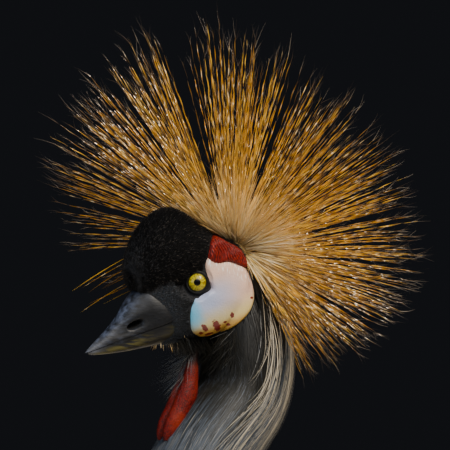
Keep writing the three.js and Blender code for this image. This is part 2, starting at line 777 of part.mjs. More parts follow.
const TOE_ROOT = [-5, 54.6];
const TOE_SHAPE = [
  [0, 7, 9], [0.16, 5.8, 5.4], [0.34, 5.9, 4.9], [0.46, 4.6, 4], [0.64, 5.2, 4.3], [0.76, 4.1, 3.6],
  [0.9, 4.4, 3.7], [1, 3.3, 3.3],
];

// One toe: a tapering tube with pads under its joints, flat where it stands on the floor.
function toe(side, { turn, length }) {
  const way = toeWay(side, turn);
  const stations = TOE_SHAPE.map(([place, radius, height]) => [
    TOE_ROOT[0] + way.x * place * length, side * TOE_ROOT[1] + way.y * place * length, height, radius, radius,
  ]);
  const across = new THREE.Vector3(-way.y, way.x, 0);
  return tube(track(stations), 0, TOE_SHAPE.length - 1, { rings: 5, sides: 6, across });
}

// One claw: a curved spike that starts a gap beyond its toe and stays just above the floor.
function claw(side, { turn, length, claw: reach }) {
  const way = toeWay(side, turn);
  const across = new THREE.Vector3(-way.y, way.x, 0);
  const root = new THREE.Vector3(TOE_ROOT[0], side * TOE_ROOT[1], 3.4).addScaledVector(way, length + GAP);
  const steps = 3;
  const rings = Array.from({ length: steps }, (_, i) => {
    const t = i / steps;
    const at = root.clone().addScaledVector(way, reach * t);
    at.z += 0.5 * Math.sin(Math.PI * t) - 1.4 * t * t;
    return ovalRing(at, way, across, 2.4 * (1 - 0.72 * t), 2.9 * (1 - 0.72 * t), 6);
  });
  const tip = root.clone().addScaledVector(way, reach);
  tip.z -= 2.3;
  rings.push([tip]);
  return ringSolid(rings);
}

function floorBlock() {
  const depth = 40;
  const below = new THREE.Matrix4().makeTranslation(0, 0, -depth / 2);
  return solidFromGeometry(new THREE.BoxGeometry(900, 500, depth), below);
}

function foot(side) {
  const end = LEG_STATIONS.length - 1;
  const ankle = tube(legTrack(side), TARSUS_END, end, { rings: 4, sides: 10, inset: GAP / 2 });
  return cutBy(union([ankle, ...Object.values(TOES).map((shape) => toe(side, shape))]), floorBlock());
}

// Section: assembly

const neckTrack = track(NECK_STATIONS.map(([x, z, width, depth]) => [x, 0, z, width, depth]));
const neckEnd = NECK_STATIONS.length - 1;

function neckLength(from, to, grow = 0, inset = 0) {
  return tube(neckTrack, from, to, { rings: Math.round((to - from) * 2), sides: 16, grow, inset });
}

// Point over the neck: place along its middle line, turn in degrees from its front, and lift over its surface.
function neckPoint(place, turn, lift) {
  const { at, along, width, depth } = neckTrack(place);
  const side = new THREE.Vector3(0, 1, 0);
  const back = new THREE.Vector3().crossVectors(along, side);
  const angle = THREE.MathUtils.degToRad(turn);
  return at.addScaledVector(back, -(depth + lift) * Math.cos(angle))
    .addScaledVector(side, (width + lift) * Math.sin(angle));
}

// Long pointed plumes hanging from the lower neck over the breast, in two rows.
function breastPlumes() {
  const random = seededRandom(5);
  return [5.7, 6.5].flatMap((place, row) => {
    const count = 7 + row;
    return Array.from({ length: count }, (_, i) => {
      const turn = mix(-1, 1, i / (count - 1)) * (66 + 8 * row) + 4 * (random() - 0.5);
      const reach = 1.2 + 0.2 * random();
      const last = NARROW_FEATHER.length - 1;
      const rings = NARROW_FEATHER.map((share, k) => {
        const t = k / last;
        const sweep = THREE.MathUtils.radToDeg((PLUME_HALF_WIDTH * share) / (50 + 5 * row));
        const lift = [-2.5, 2.5, 4.6, 6][k] + 0.4 * (i % 2);
        const at = turn * (1 + 0.1 * t);
        return SMALL_RING.map(([way, rise]) => neckPoint(place + reach * t, at + way * sweep, lift + rise * 0.9));
      });
      return ringSolid(rings, true);
    });
  });
}

function buildHead(bird, paint) {
  const sides = { left: -1, right: 1 };
  const sockets = Object.values(sides).map((side) => eyeball(side, GAP));
  const orbits = Object.values(sides).map((side) => orbit(side));
  const lidGuards = Object.values(sides).map((side) => orbit(side, LID_THICKNESS + GAP));
  const rims = Object.values(sides).map((side) => lidRing(side));
  const grooves = Object.values(sides).map((side) => mouthGroove(side));
  const head = cutBy(union([cutBy(skull(), ...orbits), ...rims]), ...sockets, ...grooves);
  bird.add(meshOf('head', head, paint.face));
  bird.add(meshOf('bill_upper', cutBy(upperBill(), nostril(-1), nostril(1)), paint.bill));
  bird.add(meshOf('bill_lower', lowerBill(), paint.bill));
  bird.add(meshOf('cap', cutBy(cap(), skull(GAP), upperBill(GAP), ...lidGuards), paint.velvet));
  for (const [name, side] of Object.entries(sides)) {
    bird.add(meshOf(`eye_${name}`, eyeball(side), paint.eye));
    const guards = [cap(GAP), ...lidGuards];
    const cheek = cutBy(sidePatch(CHEEK_OUTLINE, side, CHEEK_RISE), ...guards);
    bird.add(meshOf(`cheek_${name}`, cheek, paint.cheek));
    const red = cutBy(sidePatch(RED_PATCH_OUTLINE, side, CHEEK_RISE), ...guards);
    bird.add(meshOf(`red_patch_${name}`, red, paint.redPatch));
  }
}

function buildNeck(bird, paint) {
  const upper = cutBy(neckLength(0, NECK_SPLIT, 0, GAP / 2), skull(CHEEK_RISE + GAP), cap(GAP));
  const lower = cutBy(union([neckLength(NECK_SPLIT, neckEnd, 0, GAP / 2), ...breastPlumes()]), trunk(GAP));
  bird.add(meshOf('neck_upper', upper, paint.neck));
  bird.add(meshOf('neck_lower', lower, paint.neck));
  const throat = [neckLength(0, NECK_SPLIT + 1, GAP), skull(CHEEK_RISE + GAP)];
  bird.add(meshOf('wattle', cutBy(wattle(), ...throat), paint.wattle));
  const aroundCrest = [skull(CHEEK_RISE + GAP), cap(GAP), neckLength(0, NECK_SPLIT, GAP)];
  bird.add(meshOf('crest', cutBy(crest(), ...aroundCrest), paint.crest));
}

function buildTrunk(bird, paint) {
  bird.add(meshOf('torso', trunk(), paint.body));
  bird.add(meshOf('tail', cutBy(tail(), trunk(GAP)), paint.black));
  for (const [name, side] of Object.entries({ left: -1, right: 1 })) {
    bird.add(meshOf(`wing_${name}`, cutBy(wingCover(side), trunk(GAP)), paint.white));
    bird.add(meshOf(`wing_${name}_secondaries`, cutBy(secondaries(side), trunk(GAP)), paint.chestnut));
    bird.add(meshOf(`wing_${name}_primaries`, cutBy(primaries(side), trunk(GAP)), paint.black));
  }
}

function buildLegs(bird, paint) {
  for (const [name, side] of Object.entries({ left: -1, right: 1 })) {
    const line = legTrack(side);
    const piece = (from, to, rings) => tube(line, from, to, { rings, sides: 10, inset: GAP / 2 });
    bird.add(meshOf(`thigh_${name}`, cutBy(piece(0, THIGH_END, 7), trunk(GAP)), paint.body));
    bird.add(meshOf(`shank_${name}`, piece(THIGH_END, HOCK_END, 8), paint.leg));
    bird.add(meshOf(`tarsus_${name}`, piece(HOCK_END, TARSUS_END, 6), paint.leg));
    bird.add(meshOf(`foot_${name}`, foot(side), paint.leg));
    for (const [toeName, shape] of Object.entries(TOES)) {
      bird.add(meshOf(`claw_${name}_${toeName}`, claw(side, shape), paint.claw));
    }
  }
}

const paint = {
  bill: finish(colours.slateBill, 0.45),
  velvet: finish(colours.velvet, 0.95),
  face: finish(colours.charcoal, 0.85),
  cheek: finish(colours.white, 0.5),
  redPatch: finish(colours.red, 0.5),
  wattle: finish(colours.wattle, 0.45),
  crest: finish(colours.gold, 0.6),
  neck: finish(colours.grey, 0.9),
  body: finish(colours.darkGrey, 0.9),
  eye: finish(colours.iris, 0.05),
  white: finish(colours.white, 0.9),
  chestnut: finish(colours.chestnut, 0.85),
  black: finish(colours.black, 0.8),
  leg: finish(colours.leg, 0.6),
  claw: finish(colours.claw, 0.4),
};

const crane = new THREE.Group();
buildHead(crane, paint);
buildNeck(crane, paint);
buildTrunk(crane, paint);
buildLegs(crane, paint);

// The origin is on the floor, in the bird's middle plane, halfway along its whole length.
const reach = new THREE.Box3().setFromObject(crane);
crane.position.set(-(reach.min.x + reach.max.x) / 2, 0, -reach.min.z);

export default crane;
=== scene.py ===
import bmesh
import bpy
import numpy as np
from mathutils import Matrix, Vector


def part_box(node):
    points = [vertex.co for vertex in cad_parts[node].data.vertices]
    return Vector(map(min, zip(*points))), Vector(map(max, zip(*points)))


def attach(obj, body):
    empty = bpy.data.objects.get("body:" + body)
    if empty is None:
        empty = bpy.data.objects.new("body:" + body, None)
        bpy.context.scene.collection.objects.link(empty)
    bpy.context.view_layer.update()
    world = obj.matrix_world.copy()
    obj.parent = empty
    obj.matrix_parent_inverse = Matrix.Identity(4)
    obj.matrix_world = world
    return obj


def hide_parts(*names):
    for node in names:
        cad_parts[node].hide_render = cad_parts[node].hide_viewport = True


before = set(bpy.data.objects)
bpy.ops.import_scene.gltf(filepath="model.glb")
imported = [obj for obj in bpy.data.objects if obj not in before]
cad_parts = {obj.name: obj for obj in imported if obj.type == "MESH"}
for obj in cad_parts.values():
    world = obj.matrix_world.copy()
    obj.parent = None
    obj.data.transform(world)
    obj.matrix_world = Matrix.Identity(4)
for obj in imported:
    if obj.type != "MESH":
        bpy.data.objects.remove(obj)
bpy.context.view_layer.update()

MM = 0.001

# Head: the midpoint between the eyes, its downward pitch, and its axes
EYE_AT = np.array([-140, 0, 905]) * MM
PITCH = np.radians(20)
FORWARD = np.array([-np.cos(PITCH), 0, -np.sin(PITCH)])
UPWARD = np.array([-np.sin(PITCH), 0, np.cos(PITCH)])
SIDEWAYS = np.array([0, 1.0, 0])

# Bill: its tip and the line of its mouth; the nostril's middle, slant and half sizes
BILL_TIP = 91.7 * MM
MOUTH_HEIGHT = -20 * MM
NOSTRIL_AT = (51.5 * MM, -13.2 * MM)
NOSTRIL_SLANT = 0.12
NOSTRIL_HALVES = (5.8 * MM, 2.3 * MM)

# Eye
EYE_CENTRE = (-3 * MM, -1.1 * MM, 14.8 * MM)
EYE_TURN = np.radians(28)
EYE_RADIUS = 9.7 * MM
LID_RADIUS = 7.6 * MM
LID_THICKNESS = 0.95 * MM
IRIS_RADIUS = 6.5 * MM
PUPIL_RADIUS = 2.4 * MM

# Crest: middle of its root pad, the pad's long way down the nape and its half sizes along, across and
# sideways; the fan's axis, how far it opens, and the share of its sideways spread that is kept
CREST_ROOT = (-47 * MM, 8.5 * MM)
CREST_BAND = np.array([0.8, 0, -0.6])
CREST_PAD = np.array([19, 8, 12]) * MM
CREST_AXIS = np.array([0.35, 0, 0.94])
CREST_SPREAD = np.radians(136)
CREST_FLATNESS = 0.84
CREST_BRISTLES = 1300
CREST_LOCKS = 300
FAR_BRISTLES = 8
CREST_DOWN = 4600

# Crest as the picture sees it, in degrees up from its right: where the face and the neck begin, and the
# middle and half width of each dark parting
CREST_FACE = 146
CREST_NECK = -62
CREST_PARTINGS = ((104, 4), (69, 3))

# Reach of the crest's bristles: degrees up from level rearward, length in millimetres
CREST_REACH = np.array([
    [-180, 126], [-150, 110], [-120, 95], [-54, 103], [-39, 115], [-14, 131], [9, 137], [29, 139],
    [49, 141], [75, 154], [91, 166], [112, 172], [157, 153], [173, 135], [180, 130],
])

# Numbers of tufts, hairs and feathers; those of a thigh or a wing are for one side
CAP_TUFTS = 50000
FACE_TUFTS = 34000
NAPE_PLUMES = 1100
THROAT_WISPS = 2600
CHIN_WISPS = 1500
WATTLE_WISPS = 320
JAW_BRISTLES = 26
BODY_FEATHERS = 5200
THIGH_FEATHERS = 1050
WING_PLUMES = 90
SECONDARIES = 15
PRIMARIES = 9
TAIL_FEATHERS = 12
TAIL_COVERTS = 90

# Skin: width of the cells that fuse its parts, and how far each part lies inside its outline
SKIN_VOXEL = 2.3 * MM
SKIN_INSET = {"head": 0.9 * MM, "cap": 2.4 * MM, "neck": 2.5 * MM, "trunk": 3 * MM, "thigh": 1.5 * MM}

# Bare skin over the head: rise of the cheeks and of the red patches
CHEEK_RISE = 1.6 * MM
RED_RISE = 2.0 * MM

# Half widths of the crest's bristles, and of those along the cap's far side
BRISTLE_HALVES = (0.28, 0.44)
FAR_HALF = 0.24 * MM

# Step over the head by which slopes are found there
SLOPE_STEP = 0.4 * MM

# Turns of the trunk that the folded wings hide, behind their front edge
HIDDEN_TURNS = (26, 96)
HIDDEN_FROM = -95 * MM

# Tail: place and rise of its root, and its fall for each length along the trunk
TAIL_ROOT = (178 * MM, 46.5 * MM)
TAIL_FALL = 46.0 / 208.0

# Claw: height of its middle over the floor, and half thickness at its root
CLAW_HEIGHT = 3.4 * MM
CLAW_HALF = 2.6 * MM

# Trunk: centre and rearward slope of its long axis
TRUNK_AT = np.array([10, 0, 525]) * MM
TRUNK_SLOPE = np.radians(19)

# Camera: bearing from the bird's side, distance, and what the middle of its picture sees, to the right of the
# eyes and above them; the picture is PICTURE_WIDTH across at the bird
CAMERA_BEARING = np.radians(-28)
CAMERA_DISTANCE = 3.0
CAMERA_AIM = (29.6 * MM, 41 * MM)
PICTURE_WIDTH = 324 * MM
CAMERA_RIGHT = np.array([np.cos(CAMERA_BEARING), np.sin(CAMERA_BEARING), 0])
CAMERA_BACK = np.array([np.sin(CAMERA_BEARING), -np.cos(CAMERA_BEARING), 0])

# Width of a tuft's own patch on the map that its colours are baked to
BAKE_PATCH = 0.003


def stations(rows):
    """A table in metres from one in millimetres, in the order of its first column."""
    table = np.array(rows, float) * MM
    return table[np.argsort(table[:, 0])]


def numbered(rows):
    """A table in metres from one in millimetres, with the number of each row put before it."""
    table = np.array(rows, float) * MM
    return np.column_stack([np.arange(len(table)), table])


# Head and cap: forward place, middle height, half height, half width
HEAD = stations([
    [43, -16, 13, 8], [38, -14, 20, 12], [32, -11.5, 25.5, 15.2], [25, -8.5, 29.5, 18.3],
    [10, -6.8, 35, 20.6], [0, -7.2, 37.2, 21.8], [-12, -6.2, 37.2, 24], [-25, -4.5, 33.5, 25.4],
    [-38, -4, 26, 22.5], [-47, -6, 18, 15], [-52, -7, 5, 5],
])
HEAD_SQUARE = 0.78
CAP = stations([
    [43.6, 16, 0.5, 0.5], [42.8, 16, 5.5, 5.5], [40.8, 16, 12, 10.5], [36, 17.5, 18, 16],
    [28, 20, 25, 20.5], [14, 22.3, 31.8, 24], [0, 23, 34.2, 25.3], [-10, 22.3, 32, 25.3],
    [-18, 19.5, 26.3, 24.8], [-25, 16.5, 19, 22.6], [-33, 13, 12.5, 19], [-42, 9, 8, 13], [-50, 5, 2, 4],
])

# Upper bill: place, ridge, half width at the mouth; lower bill: place, keel, half width
UPPER_BILL = stations([
    [24, 8, 17.2], [29, 9.5, 17.3], [34, 10.6, 16.2], [40.3, 8.6, 14.2], [50, 3, 11.5], [58, -3.4, 9.6],
    [67, -8.5, 7.5], [76, -12.8, 5.7], [84, -16.2, 3.8], [89, -18.6, 2.1], [91.7, -20.2, 0.3],
])
LOWER_BILL = stations([
    [24, -34, 15.8], [29, -34.8, 16.2], [34, -34.6, 15.2], [40.3, -33.8, 13.4], [50, -32.2, 10.7],
    [60, -30.4, 8.6], [72, -27.6, 6.1], [82, -24.8, 3.7], [87.5, -22.9, 2], [89.6, -21.6, 0.3],
])
# Where horn shows from under the face's plumage: forward and up
HORN_OUTLINE = np.array([
    [27.5, -19], [29.5, -9], [32, 0], [35, 6], [38.5, 12], [100, 0], [100, -40], [42, -38], [35, -33],
    [30, -27],
]) * MM

# Outlines of the bare cheek and the red patch: forward and up
CHEEK_OUTLINE = np.array([
    [-12.4, 13.4], [-9.4, 8.5], [-8.7, 3.6], [-8.4, -5.6], [-1.9, -9.6], [4.7, -10.8], [9.7, -15.1],
    [13.2, -23.7], [13.4, -32], [8, -38.8], [-3, -42.6], [-13, -42], [-23, -38.6], [-33, -32.6],
    [-39.6, -24], [-41.6, -14.2], [-40.4, -4], [-35.6, 1], [-25, 8],
]) * MM
CHEEK_MIDDLE = np.array([-18, -17]) * MM
CHEEK_RIM_SLOPE = 0.945
RED_OUTLINE = np.array([
    [-12.8, 12], [-25, 6.4], [-36, -1], [-42.8, -4.4], [-44.6, 3.6], [-40.6, 12.6], [-32.6, 20.4],
    [-25, 26.4], [-19.4, 24], [-15.4, 18.6],
]) * MM
RED_MIDDLE = np.array([-29, 13]) * MM

# Blotches of the cheek: forward and up place, half length, half width, lean in degrees
CHEEK_SPOTS = [
    (-4.6, -35.2, 5.2, 2.2, 64), (4.3, -33.4, 3.7, 1.5, 58), (-17.5, -31.6, 2.2, 1.5, 80),
    (-11.6, -34.8, 1.3, 0.8, 20), (-14.2, -37.6, 1.7, 0.9, 40), (-35.6, -25, 1.4, 0.8, 10),
    (6.8, -36.6, 1.8, 0.8, 30), (0.6, -39.3, 2.8, 0.9, 8),
]

# Neck, from the head down: x, z, half width, half depth
NECK = numbered([
    [-98, 918, 20, 22], [-92, 884, 26, 27], [-88, 852, 30.5, 31], [-94, 820, 31.5, 31.5],
    [-121, 784, 33, 33], [-149, 732, 34, 34], [-165, 678, 37, 38], [-163, 622, 44, 47],
    [-137, 574, 53, 58], [-92, 545, 58, 64],
])
# Height under which the neck widens the head, and the stretch over which it comes in
NECK_JOIN = 0.926
NECK_FADE = 14 * MM

# Trunk and the folded wings' inner surface: place along the axis, rise, half width, half height
TRUNK = stations([
    [-172, 10, 12, 14], [-160, 9, 36, 40], [-120, 6, 62, 70], [-60, 1, 74, 84], [0, -2, 76, 86],
    [60, 0, 70, 76], [120, 8, 54, 56], [165, 14, 34, 34], [190, 16, 18, 16],
])
WING = stations([
    [-160, 9, 36, 40], [-120, 6, 62, 70], [-60, 1, 74, 84], [0, -2, 76, 86], [60, 0, 71, 77],
    [120, 4, 64, 66], [180, 3, 58, 54], [240, 0, 55, 49], [300, -6, 49, 40], [360, -16, 41, 30],
    [410, -28, 33, 23],
])

# Cover of the folded wing: place along the trunk, first and last turn, lift of its outer face
COVER = np.array([
    [-136, 50, 74, 5], [-118, 27, 91, 10], [-92, 18, 101, 12], [-46, 13, 105, 13.6], [10, 10, 108, 14.2],
    [60, 11, 109, 14.2], [104, 14, 110, 14.4],
]) * [MM, 1, 1, MM]

# Leg from the hip to the foot: x, side, z, half width, half depth
LEG = numbered([
    [14, 42, 505, 21, 25], [19, 44, 452, 25, 32], [28, 45.5, 410, 20, 23], [34, 46.5, 380, 14, 15],
    [39, 47.5, 352, 9.4, 9.8], [45, 49, 300, 7.4, 7.8], [50, 50, 252, 8, 8.6], [52.5, 50.5, 231, 10, 11.4],
    [50, 51, 208, 7.6, 8.2], [38, 52, 160, 6, 6.6], [22, 53, 104, 5.7, 6.2], [7, 54, 52, 6.4, 7],
    [-1, 54.5, 28, 9.4, 9.6], [-5, 54.6, 9, 8.2, 8.6],
])
THIGH_END = 4

# Toes: turn from straight ahead in degrees, length of the toe and of its claw
TOES = {
    "middle": (4, 92 * MM, 15 * MM), "inner": (-36, 68 * MM, 14 * MM),
    "outer": (42, 70 * MM, 13 * MM), "hind": (176, 42 * MM, 12 * MM),
}
TOE_ROOT = np.array([-5, 54.6]) * MM
TOE_SHAPE = np.array([
    [0, 7, 9], [0.16, 5.8, 5.4], [0.34, 5.9, 4.9], [0.46, 4.6, 4], [0.64, 5.2, 4.3], [0.76, 4.1, 3.6],
    [0.9, 4.4, 3.7], [1, 3.3, 3.3],
]) * [1, MM, MM]

# Throat wattle, one lobe: x and z from the eyes' midpoint, side, half width, half depth
WATTLE = numbered([
    [10, -44, 2.5, 2.2, 3], [7, -52, 2.5, 2.8, 3.4], [5, -60, 3, 3.8, 4.4], [3.5, -69, 3.8, 5, 5.8],
    [0, -82, 4.6, 6, 7.4], [-7.5, -97, 4.8, 5.9, 7.6], [-14, -108, 4.8, 4.4, 5.8],
    [-17, -113.8, 4.8, 1.6, 2.2],
])

SIDES = {"left": -1, "right": 1}


# Section: curves and surfaces of the body

def spline(table, place):
    """Values between stations: on each stretch the cubic that meets both ends with the mean slopes there."""
    knots, values = table[:, 0], table[:, 1:]
    slopes = np.gradient(values, knots, axis=0)
    place = np.clip(place, knots[0], knots[-1])
    i = np.clip(np.searchsorted(knots, place, side="right") - 1, 0, len(knots) - 2)
    step = (knots[i + 1] - knots[i])[..., None]
    t = (place - knots[i])[..., None] / step
    start = (2 * t**3 - 3 * t**2 + 1) * values[i] + (t**3 - 2 * t**2 + t) * step * slopes[i]
    return start + (3 * t**2 - 2 * t**3) * values[i + 1] + (t**3 - t**2) * step * slopes[i + 1]


def unit(vectors):
    """Vectors over their own lengths."""
    return vectors / np.maximum(np.linalg.norm(vectors, axis=-1, keepdims=True), 1e-12)


def head_point(forward, up, side):
    """The eyes' midpoint, plus each number along its axis of the head."""
    forward, up, side = (np.asarray(a, float)[..., None] for a in (forward, up, side))
    return EYE_AT + forward * FORWARD + up * UPWARD + side * SIDEWAYS


def oval_on_head(table, place, turn, lift, square=1.0):
    """Ring across the head's forward axis: cosine of the turn times the half height up, sine times the half
    width to the side, both with the lift added; a power `square` under 1 fills out its corners."""
    place, turn, lift = np.broadcast_arrays(place, np.radians(turn), lift)
    middle, tall, wide = np.moveaxis(spline(table, place), -1, 0)
    up, side = (np.sign(share) * np.abs(share) ** square for share in (np.cos(turn), np.sin(turn)))
    return head_point(place, middle + (tall + lift) * up, (wide + lift) * side)


def on_head(place, turn, lift):
    """Point over the head: forward place, degrees from the crown to the right side, lift."""
    return oval_on_head(HEAD, place, turn, lift, HEAD_SQUARE)


def on_cap(place, turn, lift):
    """Point over the velvet cap: forward place, degrees from the top to the right side, lift."""
    return oval_on_head(CAP, place, turn, lift)


def on_track(table, place, turn, lift):
    """Oval ring square to a middle line: cosine of the turn to the front, sine to the side."""
    place, turn, lift = np.broadcast_arrays(place, np.radians(turn), lift)
    near = 0.02
    x, y, z, wide, deep = np.moveaxis(spline(table, place), -1, 0)
    ends = spline(table, place + near)[..., :3] - spline(table, place - near)[..., :3]
    along = unit(ends)
    back = unit(np.cross(along, SIDEWAYS))
    side = np.cross(back, along)
    middle = np.stack([x, y, z], axis=-1)
    front = ((deep + lift) * np.cos(turn))[..., None] * -back
    return middle + front + ((wide + lift) * np.sin(turn))[..., None] * side


NECK_TRACK = np.column_stack([NECK[:, :2], np.zeros(len(NECK)), NECK[:, 2:]])


def on_neck(place, turn, lift):
    """Point over the neck: number of the station, degrees from its front to the right side, lift."""
    return on_track(NECK_TRACK, place, turn, lift)


def leg_surface(side):
    """Surface of one leg: number of the station, degrees from its front, lift."""
    table = LEG * np.array([1, 1, side, 1, 1, 1])

    def on_leg(place, turn, lift):
        return on_track(table, place, turn, lift)

    return on_leg


def trunk_point(along, rise, side):
    """Trunk's centre, plus a place along its sloping axis, a rise square to it and a side along Y."""
    axis = np.array([np.cos(TRUNK_SLOPE), 0, -np.sin(TRUNK_SLOPE)])
    lifted = np.array([np.sin(TRUNK_SLOPE), 0, np.cos(TRUNK_SLOPE)])
    return TRUNK_AT + along[..., None] * axis + rise[..., None] * lifted + side[..., None] * SIDEWAYS


def oval_on_trunk(table, place, turn, lift):
    """Ring across the trunk's axis: cosine of the turn times the half height, sine times the half width."""
    place, turn, lift = np.broadcast_arrays(place, np.radians(turn), lift)
    rise, wide, tall = np.moveaxis(spline(table, place), -1, 0)
    return trunk_point(place, rise + (tall + lift) * np.cos(turn), (wide + lift) * np.sin(turn))


def on_trunk(place, turn, lift):
    """Point over the trunk: place along its axis, degrees from the back to the right side, lift."""
    return oval_on_trunk(TRUNK, place, turn, lift)


def on_wings(place, turn, lift):
    """Point over the folded wings: place along the trunk's axis, degrees from the back's ridge, lift."""
    return oval_on_trunk(WING, place, turn, lift)


def frames(surface, place, turn, reach):
    """Point, outward normal and way of growing place at spots of a surface: the normal is the cross product
    of steps of `reach` along it and of a degree around it."""
    here = surface(place, turn, 0.0)
    along = unit(surface(place + reach, turn, 0.0) - surface(place - reach, turn, 0.0))
    around = surface(place, turn + 1, 0.0) - surface(place, turn - 1, 0.0)
    normal = unit(np.cross(along, around))
    outward = surface(place, turn, MM) - here
    return here, normal * np.sign(np.sum(normal * outward, axis=-1, keepdims=True)), along


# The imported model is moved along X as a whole; the bill's tip tells by how much
SHIFT = np.array([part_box("bill_upper")[0][0] - head_point(BILL_TIP, MOUTH_HEIGHT - 0.6 * MM, 0)[0], 0, 0])


# Section: meshes

def grid_faces(count, rows, columns):
    """Corners of the quads of `count` grids, each of so many rows and columns of points."""
    row, column = np.meshgrid(np.arange(rows - 1), np.arange(columns - 1), indexing="ij")
    corner = (row * columns + column)[..., None] + np.array([0, 1, columns + 1, columns])
    start = np.arange(count)[:, None, None] * rows * columns
    return (corner.reshape(1, -1, 4) + start).reshape(-1, 4)


def grid_lie(count, rows, columns):
    """Place across and along each grid, from 0 to 1, for every point."""
    along, across = np.meshgrid(np.linspace(0, 1, rows), np.linspace(0, 1, columns), indexing="ij")
    one = np.stack([across, along], axis=-1).reshape(1, -1, 2)
    return np.repeat(one, count, axis=0).reshape(-1, 2)


class Surface:
    """Grids of points that become one mesh, with a tone for each point and the maps of its patterns."""

    def __init__(self):
        self.parts = {"points": [], "faces": [], "lie": [], "bake": [], "tone": []}
        self.size = 0

    def add(self, grids, root=None, tone=0.5, flip=False):
        """Takes points of shape (count, rows, columns, 3); `root` is each grid's place on the unwrap."""
        count, rows, columns = grids.shape[:3]
        faces = grid_faces(count, rows, columns) + self.size
        lie = grid_lie(count, rows, columns)
        if root is None:
            bake = lie
        else:
            each = np.repeat(np.clip(root, 0.01, 0.99), rows * columns, axis=0)
            bake = each + BAKE_PATCH * (lie - 0.5)
        tones = np.broadcast_to(np.asarray(tone, float).reshape(-1, *([1] * 2)), (count, rows, columns))
        self.parts["points"].append(grids.reshape(-1, 3))
        self.parts["faces"].append(faces[:, ::-1] if flip else faces)
        self.parts["lie"].append(lie)
        self.parts["bake"].append(bake)
        self.parts["tone"].append(tones.reshape(-1))
        self.size += count * rows * columns
        return self

    def mesh(self, name, solid=False):
        """The mesh; a solid one has its seams and poles merged and its faces turned outwards."""
        parts = {key: np.concatenate(arrays) for key, arrays in self.parts.items()}
        faces = parts["faces"]
        mesh = bpy.data.meshes.new(name)
        mesh.vertices.add(len(parts["points"]))
        mesh.vertices.foreach_set("co", (parts["points"] + SHIFT).ravel())
        mesh.loops.add(faces.size)
        mesh.loops.foreach_set("vertex_index", faces.ravel())
        mesh.polygons.add(len(faces))
        mesh.polygons.foreach_set("loop_start", np.arange(0, faces.size, 4))
        mesh.update(calc_edges=True)
        for layer, key in (("lie", "lie"), ("OFBake", "bake")):
            uv = mesh.uv_layers.new(name=layer)
            uv.data.foreach_set("uv", parts[key][faces.ravel()].ravel())
        mesh.attributes.new("tone", "FLOAT", "POINT").data.foreach_set("value", parts["tone"])
        if solid:
            weld(mesh)
        mesh.polygons.foreach_set("use_smooth", np.ones(len(mesh.polygons), bool))
        mesh.update()
        return mesh


def weld(mesh):
    """Merges points that coincide and turns the faces outwards."""
    work = bmesh.new()
    work.from_mesh(mesh)
    bmesh.ops.remove_doubles(work, verts=work.verts, dist=0.01 * MM)
    bmesh.ops.recalc_face_normals(work, faces=work.faces)
    work.to_mesh(mesh)
    work.free()


def show(name, mesh, material, slot, *nodes):
    """Puts a finished mesh into the scene as a piece of the bird, in place of the named nodes."""
    piece = bpy.data.objects.new(name, mesh)
    bpy.context.collection.objects.link(piece)
    piece.data.materials.append(material)
    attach(piece, "root")
    if nodes:
        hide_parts(*nodes)
    return piece


def closed(rings):
    """A tube's rings with one more at each end, drawn in to its middle: one grid, open along its seam."""
    ends = [np.broadcast_to(ring[:-1].mean(axis=0), (1, *ring.shape)) for ring in (rings[0], rings[-1])]
    return np.concatenate([ends[0], rings, ends[1]])[None]


def tube_grid(surface, places, columns, lift=0.0):
    """Closed tube of rings round a surface at the places."""
    turns = np.linspace(-180, 180, columns + 1)
    return closed(surface(np.asarray(places)[:, None], turns[None, :], lift))


def ribbons(middle, out, half_width, columns=2, crown=0.0, tilt=0.0):
    """Ribbons about middle lines (count, rows, 3). Across is the line's run crossed with `out`. Each ribbon
    spans the half width to both sides, its middle raised by the crown, its edges by plus and minus the
    tilt."""
    along = unit(np.gradient(middle, axis=1))
    across = unit(np.cross(along, out))
    place = np.linspace(-1, 1, columns)
    rise = crown * (1 - place**2) + tilt * place
    sideways = across[:, :, None] * (half_width[..., None] * place)[..., None]
    return middle[:, :, None] + sideways + out[:, :, None] * rise[:, None]


def vanes(surface, root, tip, lifts, half_width, rows=6, columns=3, crown=0.3 * MM, tilt=0.0, shape=None,
          sway=None):
    """Vanes laid over a surface. Place and turn run straight from root to tip, the lift from the first to the
    last of `lifts` as the square root of the run; `shape` gives the width's share along the run, and `sway`
    bends the turn as the square of the run."""
    t = np.linspace(0, 1, rows)
    place = root[0][:, None] + (tip[0] - root[0])[:, None] * t
    turn = root[1][:, None] + (tip[1] - root[1])[:, None] * t
    if sway is not None:
        turn = turn + sway[:, None] * t**2
    low, high = (np.broadcast_to(value, root[0].shape)[:, None] for value in lifts)
    lift = low + (high - low) * np.sqrt(t)
    middle = surface(place, turn, lift)
    out = unit(surface(place, turn, lift + MM) - middle)
    share = (shape or broad)(t)
    return ribbons(middle, out, half_width[:, None] * share, columns, crown, tilt)


def broad(t):
    """Width along a broad, round-ended feather: quick rise, long hold, round fall to a small tip."""
    return np.clip(t * 6 + 0.35, 0, 1) * np.sqrt(np.clip(1 - t**5, 0.012, 1))


def pointed(t):
    """Width along a narrow pointed feather: rises over the first fifth and falls evenly to a fine tip."""
    return np.clip(t * 4 + 0.4, 0, 1) * np.clip(1 - t**2.2, 0.03, 1)


def hair(t):
    """Width along a hair: even, then tapering over the last third."""
    return np.clip((1 - t) * 3, 0.06, 1)


